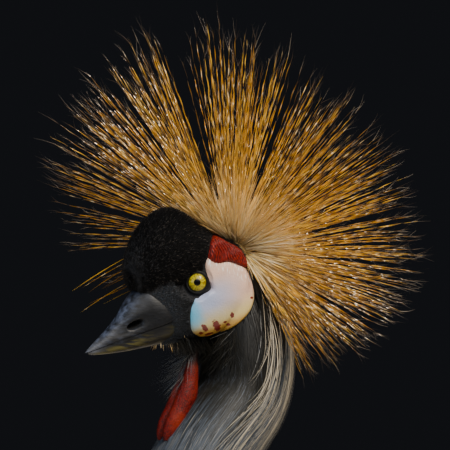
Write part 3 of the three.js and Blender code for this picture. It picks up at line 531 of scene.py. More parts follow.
def scatter(surface, places, turns, count, rng, cells=(60, 90)):
    """Places and turns of points spread by area: small cells are drawn in proportion to the cross product of
    their two sides, and each point falls anywhere in its cell."""
    place_edges, turn_edges = np.linspace(*places, cells[0] + 1), np.linspace(*turns, cells[1] + 1)
    corner = surface(place_edges[:, None], turn_edges[None, :], 0.0)
    down, over = corner[1:, :-1] - corner[:-1, :-1], corner[:-1, 1:] - corner[:-1, :-1]
    area = np.linalg.norm(np.cross(down, over), axis=-1)
    drawn = rng.choice(area.size, count, p=(area / area.sum()).ravel())
    row, column = np.unravel_index(drawn, area.shape)
    steps = (place_edges[1] - place_edges[0], turn_edges[1] - turn_edges[0])
    return place_edges[row] + steps[0] * rng.random(count), turn_edges[column] + steps[1] * rng.random(count)


def tufts(point, normal, lie, length, half_width, stand, curl, rows=3, columns=2):
    """Short tufts: each starts at its point along a way between the lie and the normal, `stand` being the
    normal's share, and curls back to the lie with the square of the run."""
    t = np.linspace(0, 1, rows)[None, :, None]
    way = unit(lie * (1 - stand[:, None]) + normal * stand[:, None])
    run = length[:, None, None]
    middle = point[:, None] + run * (way[:, None] * t + curl * (lie - normal * 0.5)[:, None] * t**2)
    out = np.broadcast_to(normal[:, None], middle.shape)
    return ribbons(middle, out, half_width[:, None] * hair(np.linspace(0, 1, rows)), columns)


def within(table, points, grow=0.0):
    """Whether points are inside a form of the head: its oval, grown all round, holds them."""
    forward, up = on_side(points)
    middle, tall, wide = np.moveaxis(spline(table, forward), -1, 0)
    side = (points - EYE_AT) @ SIDEWAYS
    spread = ((up - middle) / (tall + grow)) ** 2 + (side / (wide + grow)) ** 2
    return (spread < 1) & (forward > table[0, 0]) & (forward < table[-1, 0])


def inside(outline, forward, up):
    """Whether points of the head's side lie in an outline: the way forward crosses an odd number of edges."""
    begin, end = outline, np.roll(outline, -1, axis=0)
    level = up[..., None]
    spans = (begin[:, 1] > level) != (end[:, 1] > level)
    rise = np.where(end[:, 1] == begin[:, 1], 1e-9, end[:, 1] - begin[:, 1])
    crossing = begin[:, 0] + (level - begin[:, 1]) * (end[:, 0] - begin[:, 0]) / rise
    return (spans & (forward[..., None] < crossing)).sum(axis=-1) % 2 == 1


def on_side(points):
    """Forward and up places of points, along the head's axes."""
    return (points - EYE_AT) @ FORWARD, (points - EYE_AT) @ UPWARD


# Section: finishes

def ink(code):
    """Linear colour of a six-figure code."""
    parts = np.array([int(code[i:i + 2], 16) for i in (0, 2, 4)]) / 255
    linear = np.where(parts <= 0.04045, parts / 12.92, ((parts + 0.055) / 1.055) ** 2.4)
    return (*linear, 1.0)


class Wire:
    """An output of a node. Arithmetic on it adds Math nodes."""

    def __init__(self, paint, socket):
        self.paint, self.socket = paint, socket

    def reckon(self, operation, *values):
        """One Math node on these values."""
        return self.paint.node("ShaderNodeMath", {"operation": operation}, dict(enumerate(values)))

    def __add__(self, other):
        return self.reckon("ADD", self, other)

    def __radd__(self, other):
        return self.reckon("ADD", other, self)

    def __sub__(self, other):
        return self.reckon("SUBTRACT", self, other)

    def __rsub__(self, other):
        return self.reckon("SUBTRACT", other, self)

    def __mul__(self, other):
        return self.reckon("MULTIPLY", self, other)

    def __rmul__(self, other):
        return self.reckon("MULTIPLY", other, self)

    def __truediv__(self, other):
        return self.reckon("DIVIDE", self, other)

    def __pow__(self, other):
        return self.reckon("POWER", self, other)

    def of(self, operation):
        """A function of one value, such as its sine."""
        return self.reckon(operation, self)

    def wave(self):
        """Sine of the value, moved to lie between 0 and 1."""
        return self.of("SINE") * 0.5 + 0.5

    def over(self, start, end):
        """0 up to `start` and 1 from `end` on, with a smooth rise between; `end` may be the lower one."""
        settings = {"interpolation_type": "SMOOTHSTEP"}
        return self.paint.node("ShaderNodeMapRange", settings, {0: self, 1: start, 2: end})


class Paint:
    """A finish in the making: nodes that lead to one Principled shader."""

    def __init__(self, name):
        self.material = bpy.data.materials.new(name)
        self.material.use_nodes = True
        self.tree = self.material.node_tree
        self.tree.nodes.clear()

    def node(self, kind, settings=None, inputs=None, output=0):
        """Adds a node: its settings first, then the values or links of its sockets. Returns one output."""
        made = self.tree.nodes.new(kind)
        settings = dict(settings or {})
        for place, (at, colour) in enumerate(settings.pop("stops", [])):
            elements = made.color_ramp.elements
            element = elements[place] if place < 2 else elements.new(at)
            element.position, element.color = at, colour
        for key, value in settings.items():
            setattr(made, key, value)
        for key, value in (inputs or {}).items():
            if isinstance(value, Wire):
                self.tree.links.new(value.socket, made.inputs[key])
            else:
                made.inputs[key].default_value = value
        return Wire(self, made.outputs[output]) if made.outputs else None

    def place(self):
        """The point's own place in the frame."""
        return self.node("ShaderNodeTexCoord", output="Object")

    def axis(self, vector, name):
        """One number of a vector."""
        return self.node("ShaderNodeSeparateXYZ", inputs={0: vector}, output=name)

    def lie(self, name):
        """Place across (X) or along (Y) a feather or sheet, from 0 to 1."""
        return self.axis(self.node("ShaderNodeUVMap", {"uv_map": "lie"}), name)

    def tone(self):
        """The tone of the point's own tuft."""
        return self.node("ShaderNodeAttribute", {"attribute_name": "tone"}, output="Fac")

    def noise(self, scale, detail=3.0, stretch=None, vector=None):
        """Cloudy noise, so many features to a metre; `stretch` scales each axis first."""
        vector = vector or self.place()
        if stretch:
            vector = self.node("ShaderNodeMapping", inputs={"Vector": vector, "Scale": stretch})
        inputs = {"Vector": vector, "Scale": scale, "Detail": detail}
        return self.node("ShaderNodeTexNoise", inputs=inputs)

    def cells(self, scale, feature="F1", stretch=None):
        """Distance pattern of packed cells, so many to a metre."""
        vector = self.place()
        if stretch:
            vector = self.node("ShaderNodeMapping", inputs={"Vector": vector, "Scale": stretch})
        return self.node("ShaderNodeTexVoronoi", {"feature": feature}, {"Vector": vector, "Scale": scale})

    def ramp(self, value, *stops):
        """Colour between stops, given as a place from 0 to 1 and a colour code."""
        settings = {"stops": [(at, ink(code)) for at, code in stops]}
        return self.node("ShaderNodeValToRGB", settings, {0: value})

    def blend(self, share, first, second, way="MIX"):
        """Two colours mixed."""
        colours = [ink(c) if isinstance(c, str) else c for c in (first, second)]
        settings = {"data_type": "RGBA", "blend_type": way}
        return self.node("ShaderNodeMix", settings, {0: share, 6: colours[0], 7: colours[1]}, output=2)

    def finish(self, colour, roughness, relief=None, depth=0.5 * MM, **fixed):
        """Joins everything to the shader; `relief` is a height from 0 to 1 that is `depth` deep."""
        inputs = {"Base Color": ink(colour) if isinstance(colour, str) else colour, "Roughness": roughness}
        if relief is not None:
            inputs["Normal"] = self.node("ShaderNodeBump", inputs={"Height": relief, "Distance": depth})
        inputs.update({name.replace("_", " "): value for name, value in fixed.items()})
        shader = self.node("ShaderNodeBsdfPrincipled", inputs=inputs)
        self.node("ShaderNodeOutputMaterial", inputs={"Surface": shader})
        return self.material


def head_places(paint):
    """Forward and up places of the point on the head, as values over the surface."""
    offset = EYE_AT + SHIFT
    parts = [paint.axis(paint.place(), name) - float(offset[i]) for i, name in enumerate("XYZ")]
    forward = parts[0] * float(FORWARD[0]) + parts[2] * float(FORWARD[2])
    up = parts[0] * float(UPWARD[0]) + parts[2] * float(UPWARD[2])
    return forward, up


def gold_bristle():
    """Crest bristles: straw at the root, gold beyond and brown at the tip. Those of low tone are darker, as
    painted shade on bristles in shadow, and those of high tone brighter; painted glints and painted dark
    bands of shade, where the bristles twist, come at uneven steps."""
    paint = Paint("crest_gold")
    along, tone = paint.lie("Y"), paint.tone()
    base = paint.ramp(along, (0.0, "c9ad76"), (0.16, "f0d89a"), (0.34, "d8a63a"), (0.55, "c88c08"),
                      (0.85, "ae7604"), (1.0, "3c2e14"))
    # Painted shade: bristles of low tone darkened as if they lay in shadow
    colour = paint.blend(tone.over(0.6, 0.0) * along.over(0.1, 0.4) * 0.85, base, "4a3205")
    colour = paint.blend(tone.over(0.6, 1.0) * 0.45, colour, "f4c840")
    # Painted highlight: pale glints in short dashes where the bristles twist toward the light
    steps = ((along + tone * 3.1) * 47.0).wave() * ((along * 1.7 + tone * 5.3) * 31.0).wave()
    lit = steps.over(0.4, 0.85) * along.over(0.12, 0.4) * (tone * 90.0).wave().over(0.45, 0.95)
    colour = paint.blend(lit * 0.55, colour, "ffe6b0")
    # Painted shade: dark bands along the bristles where they twist away from the light
    dark = ((along + tone * 2.3) * 61.0).wave() ** 3.0
    colour = paint.blend(dark * along.over(0.2, 0.5) * 0.3, colour, "54380a")
    return paint.finish(colour, 0.32, Specular_IOR_Level=0.5)


def straw_down():
    """Pale down about the crest's root."""
    paint = Paint("crest_straw")
    along, tone = paint.lie("Y"), paint.tone()
    base = paint.ramp(along, (0.0, "b49c6c"), (0.3, "e9d6a4"), (1.0, "cf9c40"))
    colour = paint.blend(tone.over(0.5, 1.0) * 0.7, base, "fbf0d0")
    return paint.finish(colour, 0.6)


def dark_barb():
    """Fine blackish barbs and hair tips of the crest."""
    paint = Paint("crest_barb")
    along, tone = paint.lie("Y"), paint.tone()
    colour = paint.blend(along, "4a331a", "1a1715")
    colour = paint.blend(tone.over(0.5, 1.0), colour, "8a7f70")
    return paint.finish(colour, 0.55)


def velvet(name, root, tip, fleck, lores):
    """Short black plush: root and tip colours, a fleck colour on a few tufts, and that of the lores."""
    paint = Paint(name)
    along, tone = paint.lie("Y"), paint.tone()
    colour = paint.blend(along.over(0.2, 1.0), root, tip)
    forward, up = head_places(paint)
    colour = paint.blend(forward.over(8 * MM, 32 * MM) * up.over(9 * MM, 2 * MM) * along, colour, lores)
    colour = paint.blend(tone.over(0.93, 0.99) * along, colour, fleck)
    return paint.finish(colour, 0.8, Specular_IOR_Level=0.25, Sheen_Weight=0.08, Sheen_Roughness=0.35)


def cheek_skin():
    """Bare cheek: pinkish white above and behind, bluish in the middle, sky blue at its front edge, yellow in
    its lower third, with painted white glints (painted highlights) under its upper rim, dark red blotches
    near the bottom, fine grain and a soft gloss. A blotch is an oval whose edge the noise makes ragged."""
    paint = Paint("cheek_skin")
    place = head_places(paint)
    shift = (paint.noise(160, 4) - 0.5) * (6 * MM)
    forward, up = place[0] + shift, place[1] + shift * 0.6
    blue = (forward * 0.85 + up * 0.1).over(-34 * MM, -2 * MM) * up.over(4 * MM, -12 * MM)
    colour = paint.blend(blue * 0.9, "e6c0aa", "9fb2d8")
    colour = paint.blend(up.over(-17 * MM, -33 * MM) * 0.85, colour, "dcc878")
    edge = (forward - up * 0.12).over(3 * MM, 14 * MM) * up.over(-36 * MM, -24 * MM)
    colour = paint.blend(edge, colour, "62b8dc")
    colour = paint.blend(up.over(-31 * MM, -38 * MM) * 0.85, colour, "c08c1c")
    pink = paint.noise(95, 3).over(0.48, 0.7) * up.over(-14 * MM, 8 * MM)
    colour = paint.blend(pink * 0.4, colour, "d89a8c")
    # Painted highlight: white glints in streaks just under the cheek's upper rim
    rim_at = [float(number) for number in CHEEK_OUTLINE[0]]
    under_rim = up - rim_at[1] - (forward - rim_at[0]) * CHEEK_RIM_SLOPE
    glints = paint.noise(420, 2, stretch=(2.2, 1.0, 0.4)).over(0.52, 0.68)
    colour = paint.blend(glints * under_rim.over(-9 * MM, -3 * MM) * 0.8, colour, "ffffff")
    jag = (paint.noise(620, 4) - 0.5) * 3.2
    for ahead, above, length, width, lean in CHEEK_SPOTS:
        turn = float(np.radians(lean))
        run, rise = place[0] - ahead * MM, place[1] - above * MM
        along = (run * np.cos(turn) + rise * np.sin(turn)) / (length * MM)
        over = (rise * np.cos(turn) - run * np.sin(turn)) / (width * MM)
        colour = paint.blend((along * along + over * over + jag).over(1.35, 0.85), colour, "72140a")
    relief = paint.noise(700, 4) * 0.6 + paint.cells(900, "SMOOTH_F1") * 0.4
    return paint.finish(colour, 0.4, relief, 0.3 * MM, Coat_Weight=0.5, Coat_Roughness=0.14)


def red_skin():
    """Red patch over the cheek: papillae in upright ridges, brighter on top of them."""
    paint = Paint("red_skin")
    grain = paint.noise(900, 3, stretch=(1.6, 1.0, 0.35))
    colour = paint.ramp(grain, (0.3, "2a0301"), (0.5, "6a0c02"), (0.68, "a82206"))
    colour = paint.blend(paint.noise(120, 2).over(0.35, 0.7) * 0.5, colour, "7c0b02")
    return paint.finish(colour, 0.5, grain, 0.9 * MM, Coat_Weight=0.1, Coat_Roughness=0.3,
                        Specular_IOR_Level=0.3)


def wattle_skin():
    """Throat wattle: red with orange patches, finely pebbled, with painted shade darkening its creases and
    painted deep shade making its root blackish.
    """
    paint = Paint("wattle_skin")
    pebbles = paint.cells(1150, "SMOOTH_F1")
    # Painted shade: the pebbles' creases are the darkest
    colour = paint.ramp(pebbles, (0.1, "7c0e02"), (0.45, "560701"), (0.8, "200101"))
    colour = paint.blend(paint.noise(60, 3).over(0.45, 0.7) * 0.45, colour, "9a2c05")
    # Painted shade: the upper wattle, in deep shadow under the head, turns blackish
    height = paint.axis(paint.place(), "Z") - float(EYE_AT[2])
    colour = paint.blend(height.over(-68 * MM, -54 * MM), colour, "140504")
    return paint.finish(colour, 0.6, 1 - pebbles, 0.35 * MM, Specular_IOR_Level=0.25)


def bill_horn():
    """Bill: slate black, bluish grey along the top in patches of wear and painted highlight, olive streaks
    below, and a black nostril that is painted shade in its pit.
    """
    paint = Paint("bill_horn")
    forward, up = head_places(paint)
    grain = paint.noise(620, 5, stretch=(0.24, 1.0, 1.0))
    colour = paint.ramp(grain, (0.3, "06070a"), (0.52, "101319"), (0.76, "282d3a"))
    # Painted highlight along the ridge, bluish, broken into patches: partly real wear, partly painted light
    ridge = (up + forward * 0.42).over(10 * MM, 24 * MM)
    wear_and_highlight = paint.noise(330, 4, stretch=(0.35, 1.0, 1.0)).over(0.3, 0.75)
    colour = paint.blend(ridge * wear_and_highlight * 0.7, colour, "66728e")
    colour = paint.blend(forward.over(72 * MM, 92 * MM) * 0.4, colour, "7b7e84")
    streaks = paint.noise(260, 4, stretch=(0.3, 1.0, 1.6))
    colour = paint.blend(up.over(-20.5 * MM, -25 * MM) * streaks.over(0.38, 0.62) * 0.75, colour, "66602a")
    colour = paint.blend(forward.over(60 * MM, 38 * MM) * 0.8, colour, "0a0c10")
    # Painted shade: the nostril's slot is painted black over its real pit
    run, rise = forward - NOSTRIL_AT[0], up - NOSTRIL_AT[1]
    along = (run - rise * NOSTRIL_SLANT) / NOSTRIL_HALVES[0]
    over = (rise + run * NOSTRIL_SLANT) / NOSTRIL_HALVES[1]
    slot = (along * along + over * over).over(1.1, 0.8)
    colour = paint.blend(slot, colour, "010101")
    scuffs = paint.noise(1300, 3, stretch=(0.25, 1.0, 1.0))
    rough = scuffs * 0.35 + 0.28 + slot * 0.6
    return paint.finish(colour, rough, grain * 0.7 + scuffs * 0.3, 0.16 * MM, Specular_IOR_Level=0.38)


def eye_gloss():
    """Eye under its wet cornea: black pupil, yellow iris with olive and orange flecks, dark rim."""
    paint = Paint("eye")
    from_front, turn = paint.lie("Y") * np.pi, paint.lie("X") * (2 * np.pi)
    out = from_front.of("SINE")
    ring = paint.node("ShaderNodeCombineXYZ", inputs={0: turn.of("COSINE"), 1: turn.of("SINE"), 2: out * 0.9})
    flecks = paint.noise(5.0, 5, vector=ring)
    colour = paint.ramp(flecks, (0.3, "6e4a06"), (0.45, "9a8a08"), (0.6, "c2b414"), (0.75, "66701a"))
    edge = IRIS_RADIUS / EYE_RADIUS
    pupil = PUPIL_RADIUS / EYE_RADIUS
    colour = paint.blend(out.over(pupil * 1.35, pupil * 0.95) * 0.7, colour, "8a7a18")
    colour = paint.blend(out.over(edge * 0.86, edge * 0.98), colour, "3c3a10")
    colour = paint.blend(out.over(edge * 0.98, edge * 1.04), colour, "080708")
    colour = paint.blend(out.over(pupil * 1.04, pupil * 0.98), colour, "030303")
    return paint.finish(colour, 0.3, Specular_IOR_Level=0.3, Coat_Weight=0.25, Coat_Roughness=0.03)


def lid_skin():
    """Lids: black, finely creased skin."""
    paint = Paint("lid_skin")
    creases = paint.noise(1500, 3)
    colour = paint.ramp(creases, (0.35, "040404"), (0.7, "15161a"))
    return paint.finish(colour, 0.6, creases, 0.2 * MM, Specular_IOR_Level=0.25)


def ground_skin():
    """Skin under the plumage, with its colours: black on the head, dark to blue grey down the neck, slate on
    the body."""
    paint = Paint("under_plumage")
    height = paint.axis(paint.place(), "Z")
    grain = paint.noise(300, 4)
    colour = paint.blend(height.over(0.78, 0.88), "6f767d", "15161a")
    colour = paint.blend(height.over(0.62, 0.5), colour, "4e545a")
    colour = paint.blend(grain * 0.4, colour, "2a2c30")
    forward, up = head_places(paint)
    run, rise = (forward - CREST_ROOT[0]) / (17 * MM), (up - CREST_ROOT[1]) / (17 * MM)
    colour = paint.blend((run * run + rise * rise).over(1.0, 0.6), colour, "9c8252")
    return paint.finish(colour, 0.9, grain, 0.6 * MM)


def plumage(name, dark, light, rough=0.7, shaft=None):
    """Feathers: dark at the root and by tone, light to the tip, with barbs running aslant from the shaft."""
    paint = Paint(name)
    along, across, tone = paint.lie("Y"), paint.lie("X"), paint.tone()
    colour = paint.blend(tone, dark, light)
    colour = paint.blend(along.over(0.35, 0.0) * 0.55, colour, dark)
    off = (across - 0.5).of("ABSOLUTE")
    barbs = ((along * 90.0) - (off * 46.0)).wave()
    colour = paint.blend(barbs * 0.16, colour, dark)
    if shaft:
        colour = paint.blend(off.over(0.07, 0.03) * 0.7, colour, shaft)
    return paint.finish(colour, rough, barbs, 0.15 * MM, Sheen_Weight=0.15)


def neck_hair(name):
    """Neck's hair-like feathers by tone: warm black, charcoal, blue grey, then pale and warm."""
    paint = Paint(name)
    along, tone = paint.lie("Y"), paint.tone()
    colour = paint.ramp(tone, (0.0, "0d0c0a"), (0.25, "25241f"), (0.5, "56606e"), (0.75, "9e988a"),
                        (1.0, "f6e8cc"))
    colour = paint.blend(along.over(0.35, 0.0) * 0.6, colour, "121210")
    return paint.finish(colour, 0.45, Specular_IOR_Level=0.3)


def leg_scales():
    """Legs: blackish scutes with paler edges."""
    paint = Paint("leg_scales")
    plates = paint.cells(330, "DISTANCE_TO_EDGE", stretch=(1.0, 1.0, 0.75))
    grain = paint.noise(900, 3)
    colour = paint.ramp(plates, (0.0, "6b6862"), (0.06, "3a3b3d"), (0.3, "202124"))
    colour = paint.blend(grain * 0.35, colour, "4a4a4a")
    return paint.finish(colour, 0.5, plates.over(0.0, 0.12), 0.5 * MM)


def claw_horn():
    """Claws: black horn, paler and scratched along."""
    paint = Paint("claw_horn")
    grain = paint.noise(700, 4, stretch=(0.4, 1.0, 1.0))
    colour = paint.ramp(grain, (0.35, "0c0c0d"), (0.7, "3d3a36"))
    return paint.finish(colour, 0.35, grain, 0.2 * MM)


def floor_paper():
    """Studio paper: plain and pale, with a faint fibre."""
    paint = Paint("floor_paper")
    colour = paint.blend(paint.noise(40, 4) * 0.3, "cfccc6", "c3c0ba")
    return paint.finish(colour, 0.85)


# Section: stage

def stage_and_camera():
    """Camera at the picture's bearing, a pale floor, a plain dark surround and soft lights."""
    eyes = EYE_AT + SHIFT
    aim = eyes + CAMERA_RIGHT * CAMERA_AIM[0] + np.array([0, 0, CAMERA_AIM[1]])
    camera = bpy.data.objects.new("camera", bpy.data.cameras.new("camera"))
    camera.data.sensor_width = 36.0
    camera.data.lens = camera.data.sensor_width * CAMERA_DISTANCE / PICTURE_WIDTH
    camera.data.clip_end = 60.0
    camera.location = aim + CAMERA_BACK * CAMERA_DISTANCE
    camera.rotation_euler = (np.pi / 2, 0, CAMERA_BEARING)
    bpy.context.collection.objects.link(camera)
    bpy.context.scene.camera = camera

    floor_half = 4.0
    mesh = bpy.data.meshes.new("floor")
    corners = [(x * floor_half, y * floor_half, 0.0) for x, y in ((-1, -1), (1, -1), (1, 1), (-1, 1))]
    mesh.from_pydata(corners, [], [(0, 1, 2, 3)])
    floor = bpy.data.objects.new("floor", mesh)
    floor.data.materials.append(floor_paper())
    bpy.context.collection.objects.link(floor)

    world = bpy.data.worlds.new("studio")
    world.use_nodes = True
    world.node_tree.nodes["Background"].inputs["Color"].default_value = ink("141518")
    world.node_tree.nodes["Background"].inputs["Strength"].default_value = 1.0
    bpy.context.scene.world = world
    lamp("key", eyes, right=0.8, up=1.2, toward=0.9, size=0.5, power=31, colour="fff1dc")
    lamp("rim", eyes, right=0.9, up=1.1, toward=-1.2, size=0.6, power=60, colour="ffeed6")
    lamp("fill", eyes, right=-1.6, up=0.5, toward=1.2, size=1.4, power=13, colour="dbe6f7")
    lamp("body", np.array([0, 0, 0.45]), right=0.3, up=1.9, toward=1.7, size=1.6, power=30, colour="ffffff")


def lamp(name, at, right, up, toward, size, power, colour):
    """Square soft light that faces a spot, placed from it to the camera's right, up and toward the camera."""
    light = bpy.data.lights.new(name, "AREA")
    light.size, light.energy, light.color = size, power, ink(colour)[:3]
    lamp_object = bpy.data.objects.new(name, light)
    offset = CAMERA_RIGHT * right + CAMERA_BACK * toward + np.array([0, 0, up])
    lamp_object.location = at + offset
    sideways, forward, height = offset
    lamp_object.rotation_euler = (
        np.arctan2(np.hypot(sideways, forward), height), 0, np.arctan2(forward, sideways) + np.pi / 2,
    )
    bpy.context.collection.objects.link(lamp_object)


# Section: eyes and bare skin

def eye_axes(side):
    """Centre of an eye, and its ways outward, forward and up."""
    centre = head_point(EYE_CENTRE[0], EYE_CENTRE[1], side * EYE_CENTRE[2])
    outward = np.array([-np.sin(EYE_TURN), side * np.cos(EYE_TURN), 0])
    up = unit(UPWARD - outward * (UPWARD @ outward))
    return centre, outward, np.cross(up, outward) * side, up


def clear_of_eyes(points):
    """Points near an eye's axis lowered under its lids: within the orbit to its floor, and beyond it to a
    soft brow that rises with the square of the distance."""
    floor, orbit, brow = 4.6 * MM, 8.4 * MM, 4.2 * MM
    for side in SIDES.values():
        centre, outward, _, _ = eye_axes(side)
        offset = points - centre
        height = offset @ outward
        distance = np.linalg.norm(offset - height[..., None] * outward, axis=-1)
        limit = floor + 0.45 * brow * np.maximum((distance - orbit) / brow, 0) ** 2
        near = (height > 0) & (distance < orbit + 2 * brow)
        lower = np.where(near, np.maximum(height - limit, 0), 0)
        points = points - lower[..., None] * outward
    return points


def facing(grid, outward):
    """Whether the first part of a grid has to be flipped to face the given way."""
    middle = grid[0, grid.shape[1] // 2, grid.shape[2] // 2 - 1:grid.shape[2] // 2 + 1]
    below = grid[0, grid.shape[1] // 2 + 1, grid.shape[2] // 2 - 1]
    return np.cross(middle[1] - middle[0], below - middle[0]) @ outward < 0


def polar_reach(outline, middle, turn):
    """Distance from a middle to an outline in each direction: a smooth curve through the outline's points."""
    offset = outline - middle
    angle, reach = np.arctan2(offset[:, 1], offset[:, 0]), np.linalg.norm(offset, axis=1)
    table = np.column_stack([angle, reach])[np.argsort(angle)]
    before, after = table - [2 * np.pi, 0], table + [2 * np.pi, 0]
    return spline(np.concatenate([before, table, after]), turn)[..., 0]


def oval_side(middle, half, wide, at, square=1.0):
    """Half width of an oval at a height or depth: the root of one less the square of the share from its
    middle, to the power that fills out its corners; nothing beyond the oval."""
    share = np.clip(np.abs(at - middle) / half, 0, 1)
    return wide * (1 - share ** (2 / square)) ** (square / 2)


def head_side(forward, up, rise):
    """Half width of head, cap and neck together at a place on the head's side, each oval with the rise added
    all round; they are joined by the root of the sum of high powers, which rounds the lines between them."""
    widths = []
    for table, square in ((HEAD, HEAD_SQUARE), (CAP, 1.0)):
        middle, tall, wide = np.moveaxis(spline(table, forward), -1, 0)
        widths.append(oval_side(middle, tall + rise, wide + rise, up, square))
    at = head_point(forward, up, 0)
    x, _, wide, deep = np.moveaxis(spline(NECK, np.interp(-at[..., 2], -NECK[:, 2], NECK[:, 0])), -1, 0)
    fade = np.clip((NECK_JOIN - at[..., 2]) / NECK_FADE, 0, 1)
    widths.append(oval_side(x, deep + rise, wide + rise, at[..., 0]) * fade)
    power = 20
    return np.sum(np.maximum(widths, MM) ** power, axis=0) ** (1 / power)


def bare_patch(outline, middle, side, rise, relief, rings=70, columns=220):
    """Bare skin on the head's side: rays from the outline's middle out to it, lifted by `rise` and a relief,
    the rim rounding down into the plumage with the sixth power of the share of the way out."""
    turn = np.linspace(-np.pi, np.pi, columns + 1)
    share = np.linspace(0, 1, rings)[:, None] ** 0.8
    reach = polar_reach(outline, middle, turn)
    forward = middle[0] + share * reach * np.cos(turn)
    up = middle[1] + share * reach * np.sin(turn)
    lift = rise * np.sqrt(1 - share**6) - 1.6 * MM * share**12 + relief(forward, up) * (1 - share**8)
    grid = clear_of_eyes(head_point(forward, up, side * head_side(forward, up, lift)))[None]
    return grid, facing(grid, np.array([0, side, 0]))


def cheek_relief(forward, up):
    """Soft swellings of the cheek: slow waves across it, and a fuller pad behind and below its middle."""
    swell = 0.4 * MM * (np.sin(forward / (4.2 * MM) + 2 * np.sin(up / (6 * MM))) * np.sin(up / (5 * MM)))
    pad = np.exp(-((forward + 16 * MM) / (20 * MM)) ** 2 - ((up + 20 * MM) / (14 * MM)) ** 2)
    return swell * 0.5 + 1.2 * MM * pad


def red_relief(forward, up):
    """Upright ridges of the red patch, wandering a little."""
    return 0.45 * MM * np.sin(forward / (0.34 * MM) + 1.5 * np.sin(up / (1.9 * MM))) + 0.5 * MM


def make_bare_skin():
    """Cheeks, red patches, eyes and lids of both sides."""
    cheek, red, eye, lid = cheek_skin(), red_skin(), eye_gloss(), lid_skin()
    for name, side in SIDES.items():
        grid, flip = bare_patch(CHEEK_OUTLINE, CHEEK_MIDDLE, side, CHEEK_RISE, cheek_relief)
        show(f"cheek_{name}_skin", Surface().add(grid, flip=flip).mesh("cheek"), cheek, "cheek_skin",
             f"cheek_{name}")
        grid, flip = bare_patch(RED_OUTLINE, RED_MIDDLE, side, RED_RISE, red_relief, 60, 320)
        show(f"red_patch_{name}_skin", Surface().add(grid, flip=flip).mesh("red"), red, "red_skin",
             f"red_patch_{name}")
        ball = Surface().add(eyeball(side)).mesh("eye", solid=True)
        show(f"eye_{name}_ball", ball, eye, "eyes", f"eye_{name}")
        rim = Surface().add(lids(side)).mesh("lids", solid=True)
        show(f"lids_{name}", rim, lid, "face")


def eyeball(side, rows=72, columns=96):
    """Ball about the eye's axis, from its front to its back; the cornea swells over the iris by the square of
    the distance from the axis."""
    centre, outward, ahead, up = eye_axes(side)
    polar = np.linspace(0, np.pi, rows)[:, None]
    around = np.linspace(-np.pi, np.pi, columns + 1)
    ring = np.sin(polar) * EYE_RADIUS
    bulge = 0.5 * MM * np.clip(1 - (ring / IRIS_RADIUS) ** 2, 0, 1) * (polar < np.pi / 2)
    height = np.cos(polar) * EYE_RADIUS + bulge
    flat = (ring * np.cos(around))[..., None] * ahead + (ring * np.sin(around))[..., None] * up
    return (centre + height[..., None] * outward + flat)[None]


def lids(side, rows=160, columns=28):
    """Rolled rim round the eye, thicker above, with fine creases across it."""
    centre, outward, ahead, up = eye_axes(side)
    around = np.linspace(-np.pi, np.pi, rows + 1)[:, None]
    section = np.linspace(-np.pi, np.pi, columns + 1)
    height = np.sqrt(EYE_RADIUS**2 - LID_RADIUS**2) + 0.2 * MM
    thick = LID_THICKNESS * (1 + 0.35 * np.clip(np.sin(around), 0, 1)) + 0.03 * MM * np.sin(44 * around)
    reach = LID_RADIUS + thick * np.cos(section) - 0.35 * MM * np.clip(np.sin(around), 0, 1)
    tall = height + thick * 0.9 * np.sin(section)
    flat = (reach * np.cos(around))[..., None] * ahead + (reach * np.sin(around))[..., None] * up
    return (centre + tall[..., None] * outward + flat)[None]


def make_wattle():
    """Two hanging lobes with a pebbled surface: the oval of the track swollen by crossed waves."""
    body = Surface()
    rows, columns = 150, 90
    pebble, ripple, height = 1.5 * MM, 2.9 * MM, 0.2 * MM
    for side in SIDES.values():
        table = WATTLE * np.array([1, 1, 1, side, 1, 1])
        number, x, z, across, wide, deep = table.T
        track = np.column_stack([number, EYE_AT[0] + x, across, EYE_AT[2] + z, wide, deep])
        places = np.linspace(0, len(WATTLE) - 1, rows)[:, None]
        turns = np.linspace(-180, 180, columns + 1)
        plain = on_track(track, places, turns, 0.0)
        waves = np.sin(plain / pebble + np.array([0, 1.3, 2.1]) * side)
        pebbles = height * waves.prod(axis=-1) + height * np.sin(plain[..., 2] / ripple)
        body.add(closed(on_track(track, places, turns, pebbles)))
    show("wattle_lobes", body.mesh("wattle", solid=True), wattle_skin(), "wattle_skin", "wattle")


# Section: bill

def make_bill():
    """Upper and lower bill, each a tube of half-round sections with its flat side at the mouth line."""
    horn = bill_horn()
    rows, columns = 230, 150
    around = np.linspace(0, 2 * np.pi, columns + 1)
    for name, table, top, power, node in (
        ("bill_upper_horn", UPPER_BILL, MOUTH_HEIGHT + 0.1 * MM, 0.85, "bill_upper"),
        ("bill_lower_horn", LOWER_BILL, MOUTH_HEIGHT - 0.35 * MM, 0.8, "bill_lower"),
    ):
        place = np.linspace(table[0, 0], table[-1, 0], rows)[:, None] + 0 * around
        edge, wide = np.moveaxis(spline(table, place), -1, 0)
        arch = np.abs(np.sin(around)) ** power
        vault = np.where(np.sin(around) > 0, arch, -0.04 * arch)
        across = wide * np.cos(around)
        up = top + (edge - top) * vault
        if node == "bill_upper":
            across = across * (1 - nostril_pit(place, up) / np.maximum(np.abs(across), 5 * MM))
        grid = head_point(place, up, across)[None]
        show(name, Surface().add(grid).mesh(name, solid=True), horn, "bill", node)


